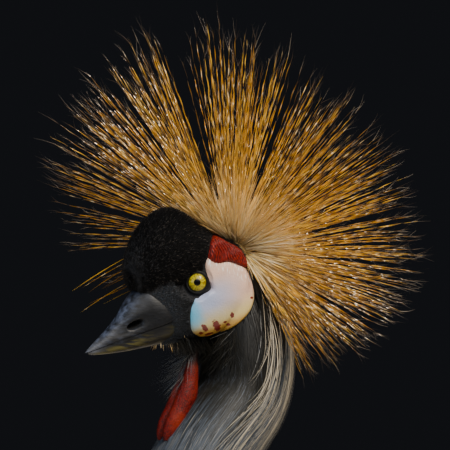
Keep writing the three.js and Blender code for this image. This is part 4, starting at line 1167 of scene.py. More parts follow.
def nostril_pit(forward, up):
    """Depth of the nostril's slot and the hollow round it: each is e to the minus a power of the oval
    distance from its middle, the eighth for the slot and the fourth for the hollow."""
    run, over = forward - NOSTRIL_AT[0], up - NOSTRIL_AT[1]
    along = run * np.cos(NOSTRIL_SLANT) - over * np.sin(NOSTRIL_SLANT)
    over = run * np.sin(NOSTRIL_SLANT) + over * np.cos(NOSTRIL_SLANT)
    slot = np.exp(-((along / NOSTRIL_HALVES[0]) ** 2 + (over / NOSTRIL_HALVES[1]) ** 2) ** 4)
    hollow = np.exp(-(((along - 3 * MM) / (15 * MM)) ** 2 + (over / (4.6 * MM)) ** 2) ** 2)
    return 5.6 * MM * slot + 0.8 * MM * hollow


# Section: skin

def make_skin():
    """One skin under the plumage: head, cap, crest's root, neck, trunk and thighs, each a little inside its
    node, fused by a voxel remesh and smoothed, then hollowed round the eyes."""
    body = Surface()
    body.add(tube_grid(on_head, np.linspace(38, -51, 40) * MM, 64, -SKIN_INSET["head"]))
    body.add(tube_grid(on_cap, np.linspace(40.4, -47, 40) * MM, 64, -SKIN_INSET["cap"]))
    body.add(tube_grid(on_neck, np.linspace(0, 9, 90), 64, -SKIN_INSET["neck"]))
    body.add(tube_grid(on_trunk, np.linspace(-171, 189, 90) * MM, 96, -SKIN_INSET["trunk"]))
    for side in SIDES.values():
        thigh = np.linspace(0, THIGH_END + 0.2, 40)
        body.add(tube_grid(leg_surface(side), thigh, 40, -SKIN_INSET["thigh"]))
    body.add(crest_pad())
    rough = bpy.data.objects.new("rough_skin", body.mesh("rough_skin", solid=True))
    bpy.context.collection.objects.link(rough)
    remesh = rough.modifiers.new("fuse", "REMESH")
    remesh.mode, remesh.voxel_size = "VOXEL", SKIN_VOXEL
    smooth = rough.modifiers.new("soften", "SMOOTH")
    smooth.iterations, smooth.factor = 6, 0.5
    fused = bpy.data.meshes.new_from_object(rough.evaluated_get(bpy.context.evaluated_depsgraph_get()))
    bpy.data.objects.remove(rough)
    points = np.empty(len(fused.vertices) * 3)
    fused.vertices.foreach_get("co", points)
    hollowed = clear_of_eyes(points.reshape(-1, 3) - SHIFT) + SHIFT
    fused.vertices.foreach_set("co", hollowed.ravel())
    fused.polygons.foreach_set("use_smooth", np.ones(len(fused.polygons), bool))
    fused.update()
    show("skin", fused, ground_skin(), "body_feathers",
         "head", "neck_upper", "neck_lower", "torso", "thigh_left", "thigh_right")


def on_crest_pad(ways, swell=1.0):
    """Points of the crest's root pad: its middle plus each unit way, stretched by the pad's half sizes."""
    across = np.cross(SIDEWAYS, CREST_BAND)
    shares = np.stack([ways @ CREST_BAND, ways @ across, ways @ SIDEWAYS], axis=-1) * CREST_PAD * swell
    return head_point(*CREST_ROOT, 0) + shares @ np.array([CREST_BAND, across, SIDEWAYS])


def crest_pad(rows=24, columns=32):
    """The pad as a ball of rings."""
    polar = np.linspace(0, np.pi, rows)[:, None]
    around = np.linspace(-np.pi, np.pi, columns + 1)
    ball = [np.sin(polar) * np.cos(around), np.sin(polar) * np.sin(around), np.cos(polar) + 0 * around]
    return on_crest_pad(np.stack(ball, axis=-1), 0.9)[None]


# Section: crest

def crest_ways(count, rng):
    """Directions spread over a cap about the crest's axis by the golden angle, their sideways share drawn in.
    Few lie over the face, the cap or the neck as the picture sees them, and two dark partings are thinned."""
    axis = unit(CREST_AXIS)
    upward = np.cross(SIDEWAYS, axis)
    polar = np.arccos(1 - (1 - np.cos(CREST_SPREAD)) * (np.arange(count) + 0.5) / count)
    turn = np.arange(count) * np.pi * (3 - np.sqrt(5)) + 0.3 * (rng.random(count) - 0.5)
    side = CREST_FLATNESS * np.sin(polar) * np.cos(turn)
    upright = np.cos(polar)[:, None] * axis + (np.sin(polar) * np.sin(turn))[:, None] * upward
    ways = np.sqrt(1 - side**2)[:, None] * unit(upright) + side[:, None] * SIDEWAYS
    angle = np.degrees(np.arctan2(ways[:, 2], ways @ CAMERA_RIGHT))
    toward = ways @ CAMERA_BACK
    below = np.where(angle > 0, angle - 180, angle + 180)
    thin = (below > -6) & (below < 30) & (rng.random(count) < 0.95 - 0.02 * below)
    far = (toward < -0.08) | (side > 0.22)
    face = (angle > CREST_FACE) & (~far | (below > -6) & ~thin)
    low = (angle < CREST_NECK) & ~(thin & far)
    parted = np.any([np.abs(angle - middle) < half for middle, half in CREST_PARTINGS], axis=0)
    partings = parted & (rng.random(count) < 0.8)
    lines = crest_start(ways)[:, None] + ways[:, None] * (np.arange(2, 12) * 10 * MM)[:, None]
    blocked = (within(CAP, lines, 2 * MM) | within(HEAD, lines, 2 * MM)).any(axis=1)
    return ways[~(face | low | partings | blocked | (toward > 0.82))]


def in_locks(ways, rng):
    """Bristles drawn together: each way goes a tenth to three fifths of the way to the nearest of a few."""
    centres = ways[rng.choice(len(ways), CREST_LOCKS, replace=False)]
    nearest = centres[np.argmax(ways @ centres.T, axis=1)]
    return unit(ways + rng.uniform(0.1, 0.62, (len(ways), 1)) * (nearest - ways))


def crest_start(ways):
    """Roots of bristles: on the pad, the more to the side the more their way leans there."""
    return on_crest_pad(unit(ways * np.array([1, 2.2, 1])), 0.85)


def crest_length(ways):
    """Reach of a bristle by its rise over the horizon: longest forward and up, shortest forward and down."""
    angle = np.degrees(np.arctan2(ways[:, 2], ways[:, 0] * 1.13))
    return np.interp(angle, CREST_REACH[:, 0], CREST_REACH[:, 1]) * MM


def twisted(middle, first, second, phase, half_width):
    """Ribbons that turn about their middle lines: across is the cosine of the phase along one way and its
    sine along the other."""
    across = np.cos(phase)[..., None] * first[:, None] + np.sin(phase)[..., None] * second[:, None]
    across = across * half_width[..., None]
    return np.stack([middle - across, middle + across], axis=2)


def crest_lines(ways, length, bend, rows, rng):
    """Middle lines of bristles: straight out, bent by the square of the run, with a faint wave to the tip."""
    t = np.linspace(0, 1, rows)[None, :, None]
    first = unit(np.cross(ways, unit(rng.normal(size=ways.shape))))
    second = np.cross(ways, first)
    turns = length[:, None, None] / rng.uniform(2.4 * MM, 4.4 * MM, (len(ways), 1, 1))
    start = rng.uniform(0, 6)
    wave = 0.28 * MM * np.sin(t * turns + start) * t
    middle = crest_start(ways)[:, None] + ways[:, None] * (length[:, None, None] - CREST_PAD[1]) * t
    middle = middle + first[:, None] * (bend[:, None, None] * t**2 + wave) + second[:, None] * wave * 0.6
    return middle - np.array([0, 0, 2.5 * MM]) * t**3, first, second


def crest_place(ways):
    """Place of each bristle's root on the unwrapped root pad: its bearing and its rise."""
    bearing = np.arctan2(ways[:, 1], ways[:, 0]) / (2 * np.pi) + 0.5
    return np.column_stack([bearing, ways[:, 2] * 0.5 + 0.5])


def bristle(t):
    """Width along a bristle: even, then tapering over the last fifth to a seventh at the tip."""
    return np.clip((1.03 - t) * 5, 0.15, 1)


def far_lines(rows, rng):
    """Middle lines of a few bristles that lie along the cap's far side, leave it near the eyes and run on
    past the forehead, drooping with the square of the run beyond it."""
    turn = rng.permutation(np.linspace(80, 120, FAR_BRISTLES))[:, None]
    forward = np.linspace(0, 1, rows) * rng.uniform(92, 116, (FAR_BRISTLES, 1)) * MM - 44 * MM
    leave, step = 4 * MM, MM
    lift = rng.uniform(1.2, 2.4, (FAR_BRISTLES, 1)) * MM
    beyond = np.maximum(forward - leave, 0)[..., None]
    along = unit(on_cap(leave, turn, lift) - on_cap(leave - step, turn, lift) + 0.08 * step * SIDEWAYS)
    droop = rng.uniform(0.5, 2.6, (FAR_BRISTLES, 1, 1)) * beyond**2
    return on_cap(np.minimum(forward, leave), turn, lift) + beyond * along - droop * np.array([0, 0, 1])


def make_crest():
    """Crest: twisted gold bristles, a few more past the forehead, dark barbs and hair tips, and pale down."""
    rng = np.random.default_rng(21)
    ways = in_locks(crest_ways(CREST_BRISTLES, rng), rng)
    count, rows = len(ways), 72
    length = crest_length(ways) * (1 - 0.24 * rng.random(count) ** 1.5)
    middle, first, second = crest_lines(ways, length, rng.normal(0, 3 * MM, count), rows, rng)
    t = np.linspace(0, 1, rows)
    phase = rng.uniform(0, 6, (count, 1)) + t * length[:, None] / rng.uniform(4.5 * MM, 8 * MM, (count, 1))
    width = rng.uniform(*BRISTLE_HALVES, (count, 1)) * MM * bristle(t)
    place = crest_place(ways)
    gold = Surface().add(twisted(middle, first, second, phase, width), place, rng.random(count))
    far = far_lines(rows, rng)
    out = np.broadcast_to(SIDEWAYS, far.shape)
    gold.add(ribbons(far, out, FAR_HALF * bristle(t) * np.ones((FAR_BRISTLES, 1))),
             np.full((FAR_BRISTLES, 2), 0.5), rng.uniform(0.4, 1, FAR_BRISTLES))
    show("crest_bristles", gold.mesh("crest_bristles"), gold_bristle(), "crest_bristles", "crest")
    make_barbs(ways, length, middle, place, rng)
    make_down(rng)


def make_barbs(ways, length, middle, place, rng):
    """Dark barbs off each bristle, aslant to its tip, and a few long hairs that run on past the tip."""
    # Nine dark barbs to a bristle: real barbs, set thick so their dark also stands in for the shade between
    # bristles
    rows_on_bristle, each, hairs = middle.shape[1], 9, 2
    which = np.repeat(np.arange(len(ways)), each)
    at = rng.integers(int(rows_on_bristle * 0.25), rows_on_bristle - 1, len(which))
    start = middle[which, at]
    slant = unit(ways[which] + 0.55 * unit(rng.normal(size=(len(which), 3))))
    reach = rng.uniform(5, 12, len(which)) * MM
    t = np.linspace(0, 1, 4)[None, :, None]
    line = start[:, None] + slant[:, None] * reach[:, None, None] * t
    out = np.broadcast_to(unit(rng.normal(size=slant.shape))[:, None], line.shape)
    width = 0.075 * MM * np.clip(1.2 - t[..., 0], 0.2, 1) * np.ones((len(which), 1))
    barbs = ribbons(line, out, width)
    clear = clear_of_bare(barbs)
    dark = Surface().add(barbs[clear], place[which][clear], rng.random(clear.sum()))
    which = np.repeat(np.arange(len(ways)), hairs)
    start = middle[which, -4]
    slant = unit(ways[which] + 0.16 * rng.normal(size=(len(which), 3)))
    reach = length[which] * rng.uniform(0.05, 0.11, len(which))
    t = np.linspace(0, 1, 6)[None, :, None]
    curl = unit(rng.normal(size=slant.shape))[:, None] * (reach[:, None, None] * 0.25 * t**2)
    line = start[:, None] + slant[:, None] * reach[:, None, None] * t + curl
    out = np.broadcast_to(unit(rng.normal(size=slant.shape))[:, None], line.shape)
    width = 0.13 * MM * np.clip(1.15 - t[..., 0], 0.15, 1) * np.ones((len(which), 1))
    dark.add(ribbons(line, out, width), place[which], rng.random(len(which)))
    show("crest_barbs", dark.mesh("crest_barbs"), dark_barb(), "crest_bristles")


def make_down(rng):
    """Fine pale bristles, thick about the crest's root."""
    ways = crest_ways(CREST_DOWN, rng)
    length = rng.uniform(22, 66, len(ways)) * MM
    rows = 12
    middle, first, second = crest_lines(ways, length, rng.normal(0, 3 * MM, len(ways)), rows, rng)
    t = np.linspace(0, 1, rows)
    phase = rng.uniform(0, 6, (len(ways), 1)) + 3 * t
    width = 0.24 * MM * np.clip((1.05 - t) * 2, 0.1, 1) * np.ones((len(ways), 1))
    down = Surface().add(twisted(middle, first, second, phase, width), crest_place(ways),
                         rng.random(len(ways)))
    show("crest_down", down.mesh("crest_down"), straw_down(), "crest_bristles")


# Section: head coat

def head_place(points):
    """Place on the head's unwrap: turn about its forward axis, and forward place."""
    forward, up = on_side(points)
    side = (points - EYE_AT) @ SIDEWAYS
    return np.column_stack([np.arctan2(side, up + 5 * MM) / (2 * np.pi) + 0.5, forward / (110 * MM) + 0.5])


def bare(points, margin=1.0):
    """Whether points of the head are on bare skin or in an eye: inside an outline on the side, or within the
    lids' radius, times the margin, of the eye's front."""
    forward, up = on_side(points)
    side = np.abs((points - EYE_AT) @ SIDEWAYS)
    wide = side > 7 * MM
    hit = wide & (inside(CHEEK_OUTLINE, forward, up) | inside(RED_OUTLINE, forward, up))
    from_eye = np.hypot(forward - EYE_CENTRE[0] - 3 * MM, up - EYE_CENTRE[1])
    return hit | (wide & (from_eye < LID_RADIUS * margin))


def clear_of_bare(grids, margin=1.0):
    """Which grids have no point on bare skin or in an eye."""
    return ~bare(grids, margin).any(axis=(1, 2))


def make_cap():
    """Black velvet cap: short dense plush that leans back, all over the swollen crown."""
    rng = np.random.default_rng(31)
    place, turn = scatter(on_cap, (-49 * MM, 43.4 * MM), (-180, 180), CAP_TUFTS, rng, (180, 90))
    point, normal, along = frames(on_cap, place, turn, SLOPE_STEP)
    keep = ~(bare(point) | within(HEAD, point, -1.5 * MM))
    point, normal, along = point[keep] - 2.8 * MM * normal[keep], normal[keep], along[keep]
    count = len(point)
    lie = unit(-along + 0.3 * rng.normal(size=along.shape))
    length = rng.uniform(2.2, 3.3, count) * MM
    grids = tufts(point, normal, lie, length, np.full(count, 0.22 * MM), rng.uniform(0.4, 0.65, count), 0.2)
    clear = clear_of_bare(grids, 0.95)
    plush = Surface().add(grids[clear], head_place(point[clear]), rng.random(clear.sum()))
    show("cap_plush", plush.mesh("cap_plush"), velvet("cap_velvet", "020202", "0c0a0b", "6a625a", "0c0a0b"),
         "velvet_cap", "cap")


def make_face():
    """Short black plumage of the face, chin and back of the head, longer toward the throat."""
    rng = np.random.default_rng(32)
    place, turn = scatter(on_head, (-50 * MM, 40.5 * MM), (-180, 180), FACE_TUFTS, rng)
    point, normal, along = frames(on_head, place, turn, SLOPE_STEP)
    point = clear_of_eyes(point)
    forward, up = on_side(point)
    keep = ~(bare(point) | within(CAP, point, -1.5 * MM) | inside(HORN_OUTLINE, forward, up))
    point, normal, along, forward = point[keep], normal[keep], along[keep], forward[keep]
    count = len(point)
    lie = unit(-along + np.array([0, 0, -0.25]) + 0.22 * rng.normal(size=along.shape))
    length = np.interp(forward, [0, 22 * MM, 40 * MM], [3.4, 1.7, 1.1]) * MM * rng.uniform(0.8, 1.25, count)
    grids = tufts(point - 0.7 * MM * normal, normal, lie, length, np.full(count, 0.2 * MM),
                  rng.uniform(0.1, 0.25, count), 0.12)
    clear = clear_of_bare(grids, 0.95)
    coat = Surface().add(grids[clear], head_place(point[clear]), rng.random(clear.sum()))
    show("face_plush", coat.mesh("face_plush"), velvet("face_black", "050505", "15171a", "5c6066", "3a424c"),
         "face")


# Section: neck

def neck_run(place):
    """Length of the neck's middle line for each station number at a place."""
    step = 0.05
    ends = spline(NECK_TRACK, place + step)[..., :3] - spline(NECK_TRACK, place - step)[..., :3]
    return np.linalg.norm(ends, axis=-1) / (2 * step)


def neck_place(place, turn):
    """Place on the neck's unwrap."""
    return np.column_stack([turn / 360 + 0.5, place / 9.5])


def make_neck():
    """Hair-like feathers of the neck: dark under the cheek, blue grey lower down, pale along the nape; the
    dark is partly painted shade and the pale nape partly painted rim light.
    """
    rng = np.random.default_rng(41)
    hairs = neck_hair("neck_hair")
    for name, places, count, length, width in (
        ("neck_strands_upper", (0.02, 2.2), 17000, (24, 48), 0.2),
        ("neck_strands_middle", (1.9, 4.2), 15000, (34, 62), 0.28),
        ("neck_strands_lower", (3.9, 6.4), 9000, (38, 70), 0.45),
    ):
        place, turn = scatter(on_neck, places, (-180, 180), count, rng)
        reach = rng.uniform(*length, count) * MM / neck_run(place)
        high = rng.uniform(0.6, 3.0, count) * MM
        nape = np.clip((np.abs(turn) - 116 + 9 * np.clip(place, 0, 3)) / 42, 0, 1)
        down = np.clip((place - 1.2) / 2.4, 0, 1)
        tip = (place + reach, turn - np.sign(turn) * 16 * nape + rng.normal(0, 2, count))
        grids = vanes(on_neck, (place, turn), tip, (-1.5 * MM, high), np.full(count, width * MM), 6, 2,
                      0.0, 0.0, hair, rng.normal(0, 3, count))
        # Tone: darkest high on the neck and palest along the nape, partly the plumage's own colours, partly
        # painted shade and painted rim light
        tone = 0.05 + 0.45 * down * (1 - nape) + nape * np.clip(0.18 + place * 0.24, 0.18, 0.5)
        tone = tone + rng.normal(0, 0.07 + 0.12 * nape) + (rng.random(count) > 0.95) * 0.2
        clear = clear_of_bare(grids)
        coat = Surface().add(grids[clear], neck_place(place, turn)[clear], np.clip(tone, 0, 1)[clear])
        show(name, coat.mesh(name), hairs, "neck_feathers")


def make_loose_hairs():
    """Nape plumes, throat wisps and jaw bristles, drawn in this order from one run of random numbers."""
    rng = np.random.default_rng(43)
    make_nape_plumes(rng)
    make_throat_wisps(rng)
    make_jaw_bristles(rng)


def make_nape_plumes(rng):
    """Long pale plumes down the nape, each turning 8 to 34 degrees toward the side on its way."""
    count = NAPE_PLUMES
    place = rng.uniform(0.3, 5.0, count)
    turn = rng.choice([-1, 1], count) * rng.uniform(96, 178, count)
    reach = rng.uniform(55, 110, count) * MM / neck_run(place)
    tip = (place + reach, turn - np.sign(turn) * rng.uniform(8, 34, count))
    grids = vanes(on_neck, (place, turn), tip, (0.2 * MM, rng.uniform(2.4, 5.0, count) * MM),
                  rng.uniform(0.18, 0.4, count) * MM, 14, 2, 0.0, 0.0, pointed, rng.normal(0, 7, count))
    # Tone: pale plumes, the brightest near white as painted highlight on the gloss, darker further down the
    # neck
    tone = 0.5 + 0.5 * rng.random(count) ** 1.2 - 0.09 * np.clip(place - 1, 0, 3)
    coat = Surface().add(grids, neck_place(place, turn), np.clip(tone, 0, 1))
    show("nape_plumes", coat.mesh("nape_plumes"), neck_hair("nape_hair"), "neck_feathers")


def wisps_on(surface, spots, step, lean, length, stand, curl, rng):
    """Wisps that start a millimetre under a surface. `lean` gives the shares of the surface's run, of chance
    and of its normal in the way each one lies. Returns them with the points above their roots."""
    point, normal, along = frames(surface, *spots, step)
    run, chance, out = lean
    lie = unit(run * along + chance * rng.normal(size=along.shape) + out * normal)
    count = len(point)
    wisps = tufts(point - MM * normal, normal, lie, rng.uniform(*length, count) * MM,
                  np.full(count, 0.13 * MM), rng.uniform(*stand, count), curl, 6)
    return wisps, point


def wattle_wisps(rng):
    """Finer wisps from the front of the wattle's root, hanging forward and down, with their roots."""
    count = WATTLE_WISPS
    track = spline(WATTLE, rng.uniform(0.3, 2.8, count))
    side = rng.uniform(-1, 1, count) * track[:, 2]
    front = np.column_stack([EYE_AT[0] + track[:, 0] - 0.5 * track[:, 4], side, EYE_AT[2] + track[:, 1]])
    way = unit(np.array([-0.75, 0, -0.6]) + 0.3 * rng.normal(size=(count, 3)))
    wisps = tufts(front, np.broadcast_to([0, 0, -1.0], way.shape), way, rng.uniform(12, 30, count) * MM,
                  np.full(count, 0.07 * MM), np.zeros(count), 0.15, 8)
    return wisps, front


def make_throat_wisps(rng):
    """Dark wisps down the throat, under the chin and round the wattle."""
    under = Surface()
    spots = scatter(on_neck, (0.1, 2.1), (-48, 48), THROAT_WISPS, rng)
    wisps, _ = wisps_on(on_neck, spots, 0.05, (1, 0.35, 0.3), (9, 20), (0.1, 0.45), 0.2, rng)
    clear = clear_of_bare(wisps)
    under.add(wisps[clear], neck_place(*spots)[clear], rng.uniform(0, 0.3, clear.sum()))
    spots = scatter(on_head, (-8 * MM, 24 * MM), (150, 210), CHIN_WISPS, rng)
    wisps, point = wisps_on(on_head, spots, SLOPE_STEP, (-0.6, 0.3, 1), (6, 15), (0.3, 0.8), 0.1, rng)
    clear = clear_of_bare(wisps)
    under.add(wisps[clear], head_place(point)[clear], rng.uniform(0, 0.25, clear.sum()))
    wisps, front = wattle_wisps(rng)
    under.add(wisps, head_place(front), rng.uniform(0.2, 0.7, WATTLE_WISPS))
    show("throat_wisps", under.mesh("throat_wisps"), neck_hair("throat_hair"), "face")


def make_jaw_bristles(rng):
    """A few straw bristles under the jaw."""
    count = JAW_BRISTLES
    place, turn = rng.uniform(14, 40, count) * MM, rng.choice([-1, 1], count) * rng.uniform(140, 176, count)
    point, normal, along = frames(on_head, place, turn, SLOPE_STEP)
    lie = unit(normal + 0.3 * rng.normal(size=along.shape))
    spikes = tufts(point - MM * normal, normal, lie, rng.uniform(4, 7, count) * MM, np.full(count, 0.16 * MM),
                   np.full(count, 0.9), 0.1, 5)
    gold = Surface().add(spikes, head_place(point), rng.random(count))
    show("jaw_bristles", gold.mesh("jaw_bristles"), straw_down(), "crest_bristles")


def make_breast():
    """Grey feathers at the base of the neck, and long lance-shaped plumes that hang over the breast."""
    rng = np.random.default_rng(42)
    grey = plumage("breast_grey", "4d545b", "b4bcc3", 0.6, "3a4047")
    coat = Surface()
    for places, turns, count, length, width, shape in (
        ((5.6, 8.3), (-180, 180), 1300, (26, 40), (3.4, 4.6), broad),
        ((4.7, 7.2), (-105, 105), 1100, (60, 105), (1.6, 3.0), pointed),
    ):
        place, turn = scatter(on_neck, places, turns, count, rng)
        reach = rng.uniform(*length, count) * MM / neck_run(place)
        end = np.minimum(place + reach, rng.uniform(7.9, 8.9, count))
        tip = np.maximum(end, place + 0.3)
        lifts = (-2 * MM, np.interp(tip, [7.0, 8.6], [1, 0.25]) * rng.uniform(2, 6.5, count) * MM)
        half = rng.uniform(*width, count) * MM
        grids = vanes(on_neck, (place, turn), (tip, turn * 1.05), lifts, half, 8, 3, 0.5 * MM, 0.0, shape,
                      rng.normal(0, 5, count))
        coat.add(grids, neck_place(place, turn), np.clip(rng.normal(0.5, 0.2, count), 0, 1))
    show("breast_plumes", coat.mesh("breast_plumes"), grey, "neck_feathers")


# Section: trunk, wings and tail

def trunk_place(place, turn):
    """Place on the trunk's unwrap."""
    return np.column_stack([turn / 360 + 0.5, place / (640 * MM) + 0.3])


def make_body():
    """Slate contour feathers over the trunk and thighs, in overlapping rows toward the tail."""
    rng = np.random.default_rng(51)
    slate = plumage("body_slate", "3c4147", "7c848b")
    place, turn = scatter(on_trunk, (-168 * MM, 186 * MM), (-180, 180), BODY_FEATHERS, rng)
    away = np.abs(turn)
    hidden = (away > HIDDEN_TURNS[0]) & (away < HIDDEN_TURNS[1]) & (place > HIDDEN_FROM)
    place, turn = place[~hidden], turn[~hidden]
    count = len(place)
    length = rng.uniform(19, 27, count) * MM
    tip, lifts = np.minimum(place + length, 200 * MM), (-2 * MM, rng.uniform(1, 3, count) * MM)
    grids = vanes(on_trunk, (place, turn), (tip, turn), lifts, rng.uniform(4.0, 5.4, count) * MM, 6, 4,
                  0.5 * MM, 0.3 * MM)
    coat = Surface().add(grids, trunk_place(place, turn), np.clip(rng.normal(0.5, 0.2, count), 0, 1))
    for side in SIDES.values():
        leg = leg_surface(side)
        place, turn = scatter(leg, (0.12, THIGH_END - 0.1), (-180, 180), THIGH_FEATHERS, rng)
        count = len(place)
        tip = np.minimum(place + rng.uniform(0.45, 0.62, count), THIGH_END + 0.3)
        grids = vanes(leg, (place, turn), (tip, turn), (-1.2 * MM, rng.uniform(0.8, 2.2, count) * MM),
                      rng.uniform(2.6, 3.6, count) * MM, 6, 3, 0.4 * MM)
        coat.add(grids, np.column_stack([0.5 + side * (0.2 + turn / 900), place / 30 + 0.05]),
                 np.clip(rng.normal(0.45, 0.2, count), 0, 1))
    show("body_coat", coat.mesh("body_coat"), slate, "body_feathers")


def wing_bed(side, rows=90, columns=60):
    """Closed sheet under the coverts: out along its upper face and back along its lower one."""
    place = np.linspace(COVER[0, 0], 100 * MM, rows)[:, None]
    first, last, lift = (column[..., None] for column in np.moveaxis(spline(COVER, place[:, 0]), -1, 0))
    share = np.linspace(0, 1, columns)
    upper = on_wings(place, side * (first + (last - first) * share), lift - 1.6 * MM)
    lower_lift = np.where(place < 12 * MM, -2.5 * MM, 9.0 * MM)
    lower = on_wings(place, side * (last + (first - last) * share), lower_lift)
    rings = np.concatenate([upper, lower, upper[:, :1]], axis=1)
    tips = [np.broadcast_to(r.mean(axis=0), (1, *r.shape)) for r in (rings[0], rings[-1])]
    return np.concatenate([tips[0], rings, tips[1]])[None]


def covert_rows(side, rng):
    """Coverts row by row from the shoulder back, each row half a feather off the one before it."""
    batches = []
    places = np.concatenate([[-135.5, -133], np.arange(-131, 93, 10.5)]) * MM
    for row, place in enumerate(places):
        first, last, lift = spline(COVER, np.array(place))
        count = int((last - first) / 4.4)
        step = (last - first) * (np.arange(count) + 0.5 * (row % 2)) / (count - 0.5)
        turn = first + step + rng.normal(0, 0.5, count)
        at = np.full(count, place) + rng.normal(0, 1.2 * MM, count)
        length = np.interp(place, [-130 * MM, 90 * MM], [17, 34]) * MM * rng.uniform(0.9, 1.1, count)
        root_lift = lift - np.interp(place, [-125 * MM, -95 * MM], [1.5, 3.2]) * MM
        lifts = (np.full(count, root_lift), lift + rng.uniform(0.3, 1.6, count) * MM)
        half = np.interp(place, [-130 * MM, 90 * MM], [4.4, 7.0]) * MM
        batches.append((at, side * turn, at + length, lifts, np.full(count, half)))
    joined = [np.concatenate([batch[i] for batch in batches]) for i in (0, 1, 2, 4)]
    lifts = tuple(np.concatenate([batch[3][i] for batch in batches]) for i in (0, 1))
    return joined, lifts


def make_wings():
    """Both folded wings: pale bed and coverts, straw plumes, chestnut secondaries and black primaries."""
    white = plumage("covert_white", "b9b2a2", "f3efe6", 0.7, "c9c0ac")
    straw = plumage("plume_straw", "a9823c", "f0dfae", 0.6)
    chestnut = plumage("chestnut", "2c0f06", "6c2e12", 0.65, "1c0a04")
    black = plumage("primary_black", "0b0b0d", "2c2d32", 0.5, "050506")
    for name, side in SIDES.items():
        rng = np.random.default_rng(61 + side)
        bed = Surface().add(wing_bed(side)).mesh("wing_bed", solid=True)
        show(f"wing_{name}_bed", bed, white, "wing_coverts", f"wing_{name}")
        (at, turn, tip, half), lifts = covert_rows(side, rng)
        coat = Surface().add(vanes(on_wings, (at, turn), (tip, turn), lifts, half, 7, 4, 0.6 * MM, 0.35 * MM),
                             trunk_place(at, turn), np.clip(rng.normal(0.75, 0.15, len(at)), 0, 1))
        show(f"wing_{name}_coverts", coat.mesh("coverts"), white, "wing_coverts")
        count = WING_PLUMES
        share = rng.random(count)
        root = (rng.uniform(70, 96, count) * MM, side * (24 + 82 * share))
        end = (rng.uniform(170, 262, count) * MM, side * (34 + 74 * share + rng.normal(0, 4, count)))
        plumes = vanes(on_wings, root, end, (12.5 * MM, rng.uniform(11, 15, count) * MM),
                       rng.uniform(1.6, 3.2, count) * MM, 12, 3, 0.5 * MM, 0.0, pointed,
                       side * rng.normal(0, 6, count))
        coat = Surface().add(plumes, trunk_place(*root), rng.random(count))
        show(f"wing_{name}_plumes", coat.mesh("plumes"), straw, "wing_coverts")
        share = np.linspace(0, 1, SECONDARIES)
        root = (np.full(SECONDARIES, 60 * MM), side * (20 + 80 * share))
        end = ((344 - 106 * share**1.3) * MM, side * (20 + 77 * share))
        flight = vanes(on_wings, root, end, (8.2 * MM, 8.9 * MM), np.full(SECONDARIES, 12.5 * MM), 24, 7,
                       0.5 * MM, -side * 1.4 * MM)
        coat = Surface().add(flight, trunk_place(*root), rng.uniform(0.25, 0.8, SECONDARIES))
        show(f"wing_{name}_flight", coat.mesh("secondaries"), chestnut, "chestnut_feathers",
             f"wing_{name}_secondaries")
        share = np.linspace(0, 1, PRIMARIES)
        root = (np.full(PRIMARIES, 95 * MM), side * (54 + 34 * share))
        end = ((398 - 86 * share) * MM, side * (36 + 28 * share))
        lift = 0.6 * MM + 5 * MM * share
        flight = vanes(on_wings, root, end, (lift, lift), np.full(PRIMARIES, 10.5 * MM), 24, 7, 0.4 * MM)
        coat = Surface().add(flight, trunk_place(*root), rng.uniform(0.2, 0.7, PRIMARIES))
        show(f"wing_{name}_tips", coat.mesh("primaries"), black, "black_feathers", f"wing_{name}_primaries")


def on_tail(place, across, lift):
    """Point over the tail's sloping plane: place along the trunk's axis, sideways distance, lift."""
    place, across, lift = np.broadcast_arrays(place, across, lift)
    rise = TAIL_ROOT[1] - (place - TAIL_ROOT[0]) * TAIL_FALL
    return trunk_point(place, rise + lift, across)


def make_tail():
    """Twelve dark tail feathers in a fan, the middle pair on top, and the coverts over their roots."""
    rng = np.random.default_rng(71)
    number = np.arange(TAIL_FEATHERS)
    way, rank = np.where(number % 2, 1, -1), number // 2
    root = (np.full(TAIL_FEATHERS, 160 * MM), way * (2 + 1.8 * rank) * MM)
    end = ((386 - 5 * rank) * MM, way * (3.5 + 3.6 * rank) * MM)
    lifts = -0.95 * MM * number
    grids = vanes(on_tail, root, end, (lifts, lifts), np.full(TAIL_FEATHERS, 14 * MM), 24, 7, 0.7 * MM)
    tail = Surface().add(grids, trunk_place(root[0], root[1] / MM), rng.uniform(0.2, 0.7, TAIL_FEATHERS))
    count = TAIL_COVERTS
    root = (rng.uniform(108, 176, count) * MM, rng.uniform(-24, 24, count) * MM)
    end = (root[0] + rng.uniform(50, 85, count) * MM, root[1] * 0.9)
    covers = vanes(on_tail, root, end, (-1 * MM, rng.uniform(0.8, 3, count) * MM),
                   rng.uniform(5, 7.5, count) * MM, 8, 4, 0.8 * MM)
    tail.add(covers, trunk_place(root[0], root[1] / MM), rng.uniform(0.2, 0.9, count))
    show("tail_feathers", tail.mesh("tail"), plumage("tail_black", "101114", "34373c", 0.55, "08080a"),
         "black_feathers", "tail")


# Section: legs

def scuted(surface, places, columns, plate):
    """Leg tube with scutes: rings swell in rounded steps along the front, and in a finer lattice behind."""
    place = np.asarray(places)[:, None]
    turn = np.linspace(-180, 180, columns + 1)
    front = np.clip(np.cos(np.radians(turn)) * 1.6, 0, 1)
    step = np.abs(np.sin(np.pi * place / plate)) ** 0.5
    lattice = np.sin(2 * np.pi * place / (plate * 0.6)) * np.sin(np.radians(turn) * 12)
    relief = 0.3 * MM * step * front + 0.12 * MM * lattice * (1 - front)
    return closed(surface(place, turn, relief))


def toe_axes(side, turn):
    """Level ways along a toe and across it, by its turn in degrees from straight ahead."""
    angle = np.radians(turn)
    way = np.array([-np.cos(angle), side * np.sin(angle), 0])
    return way, np.array([-way[1], way[0], 0])


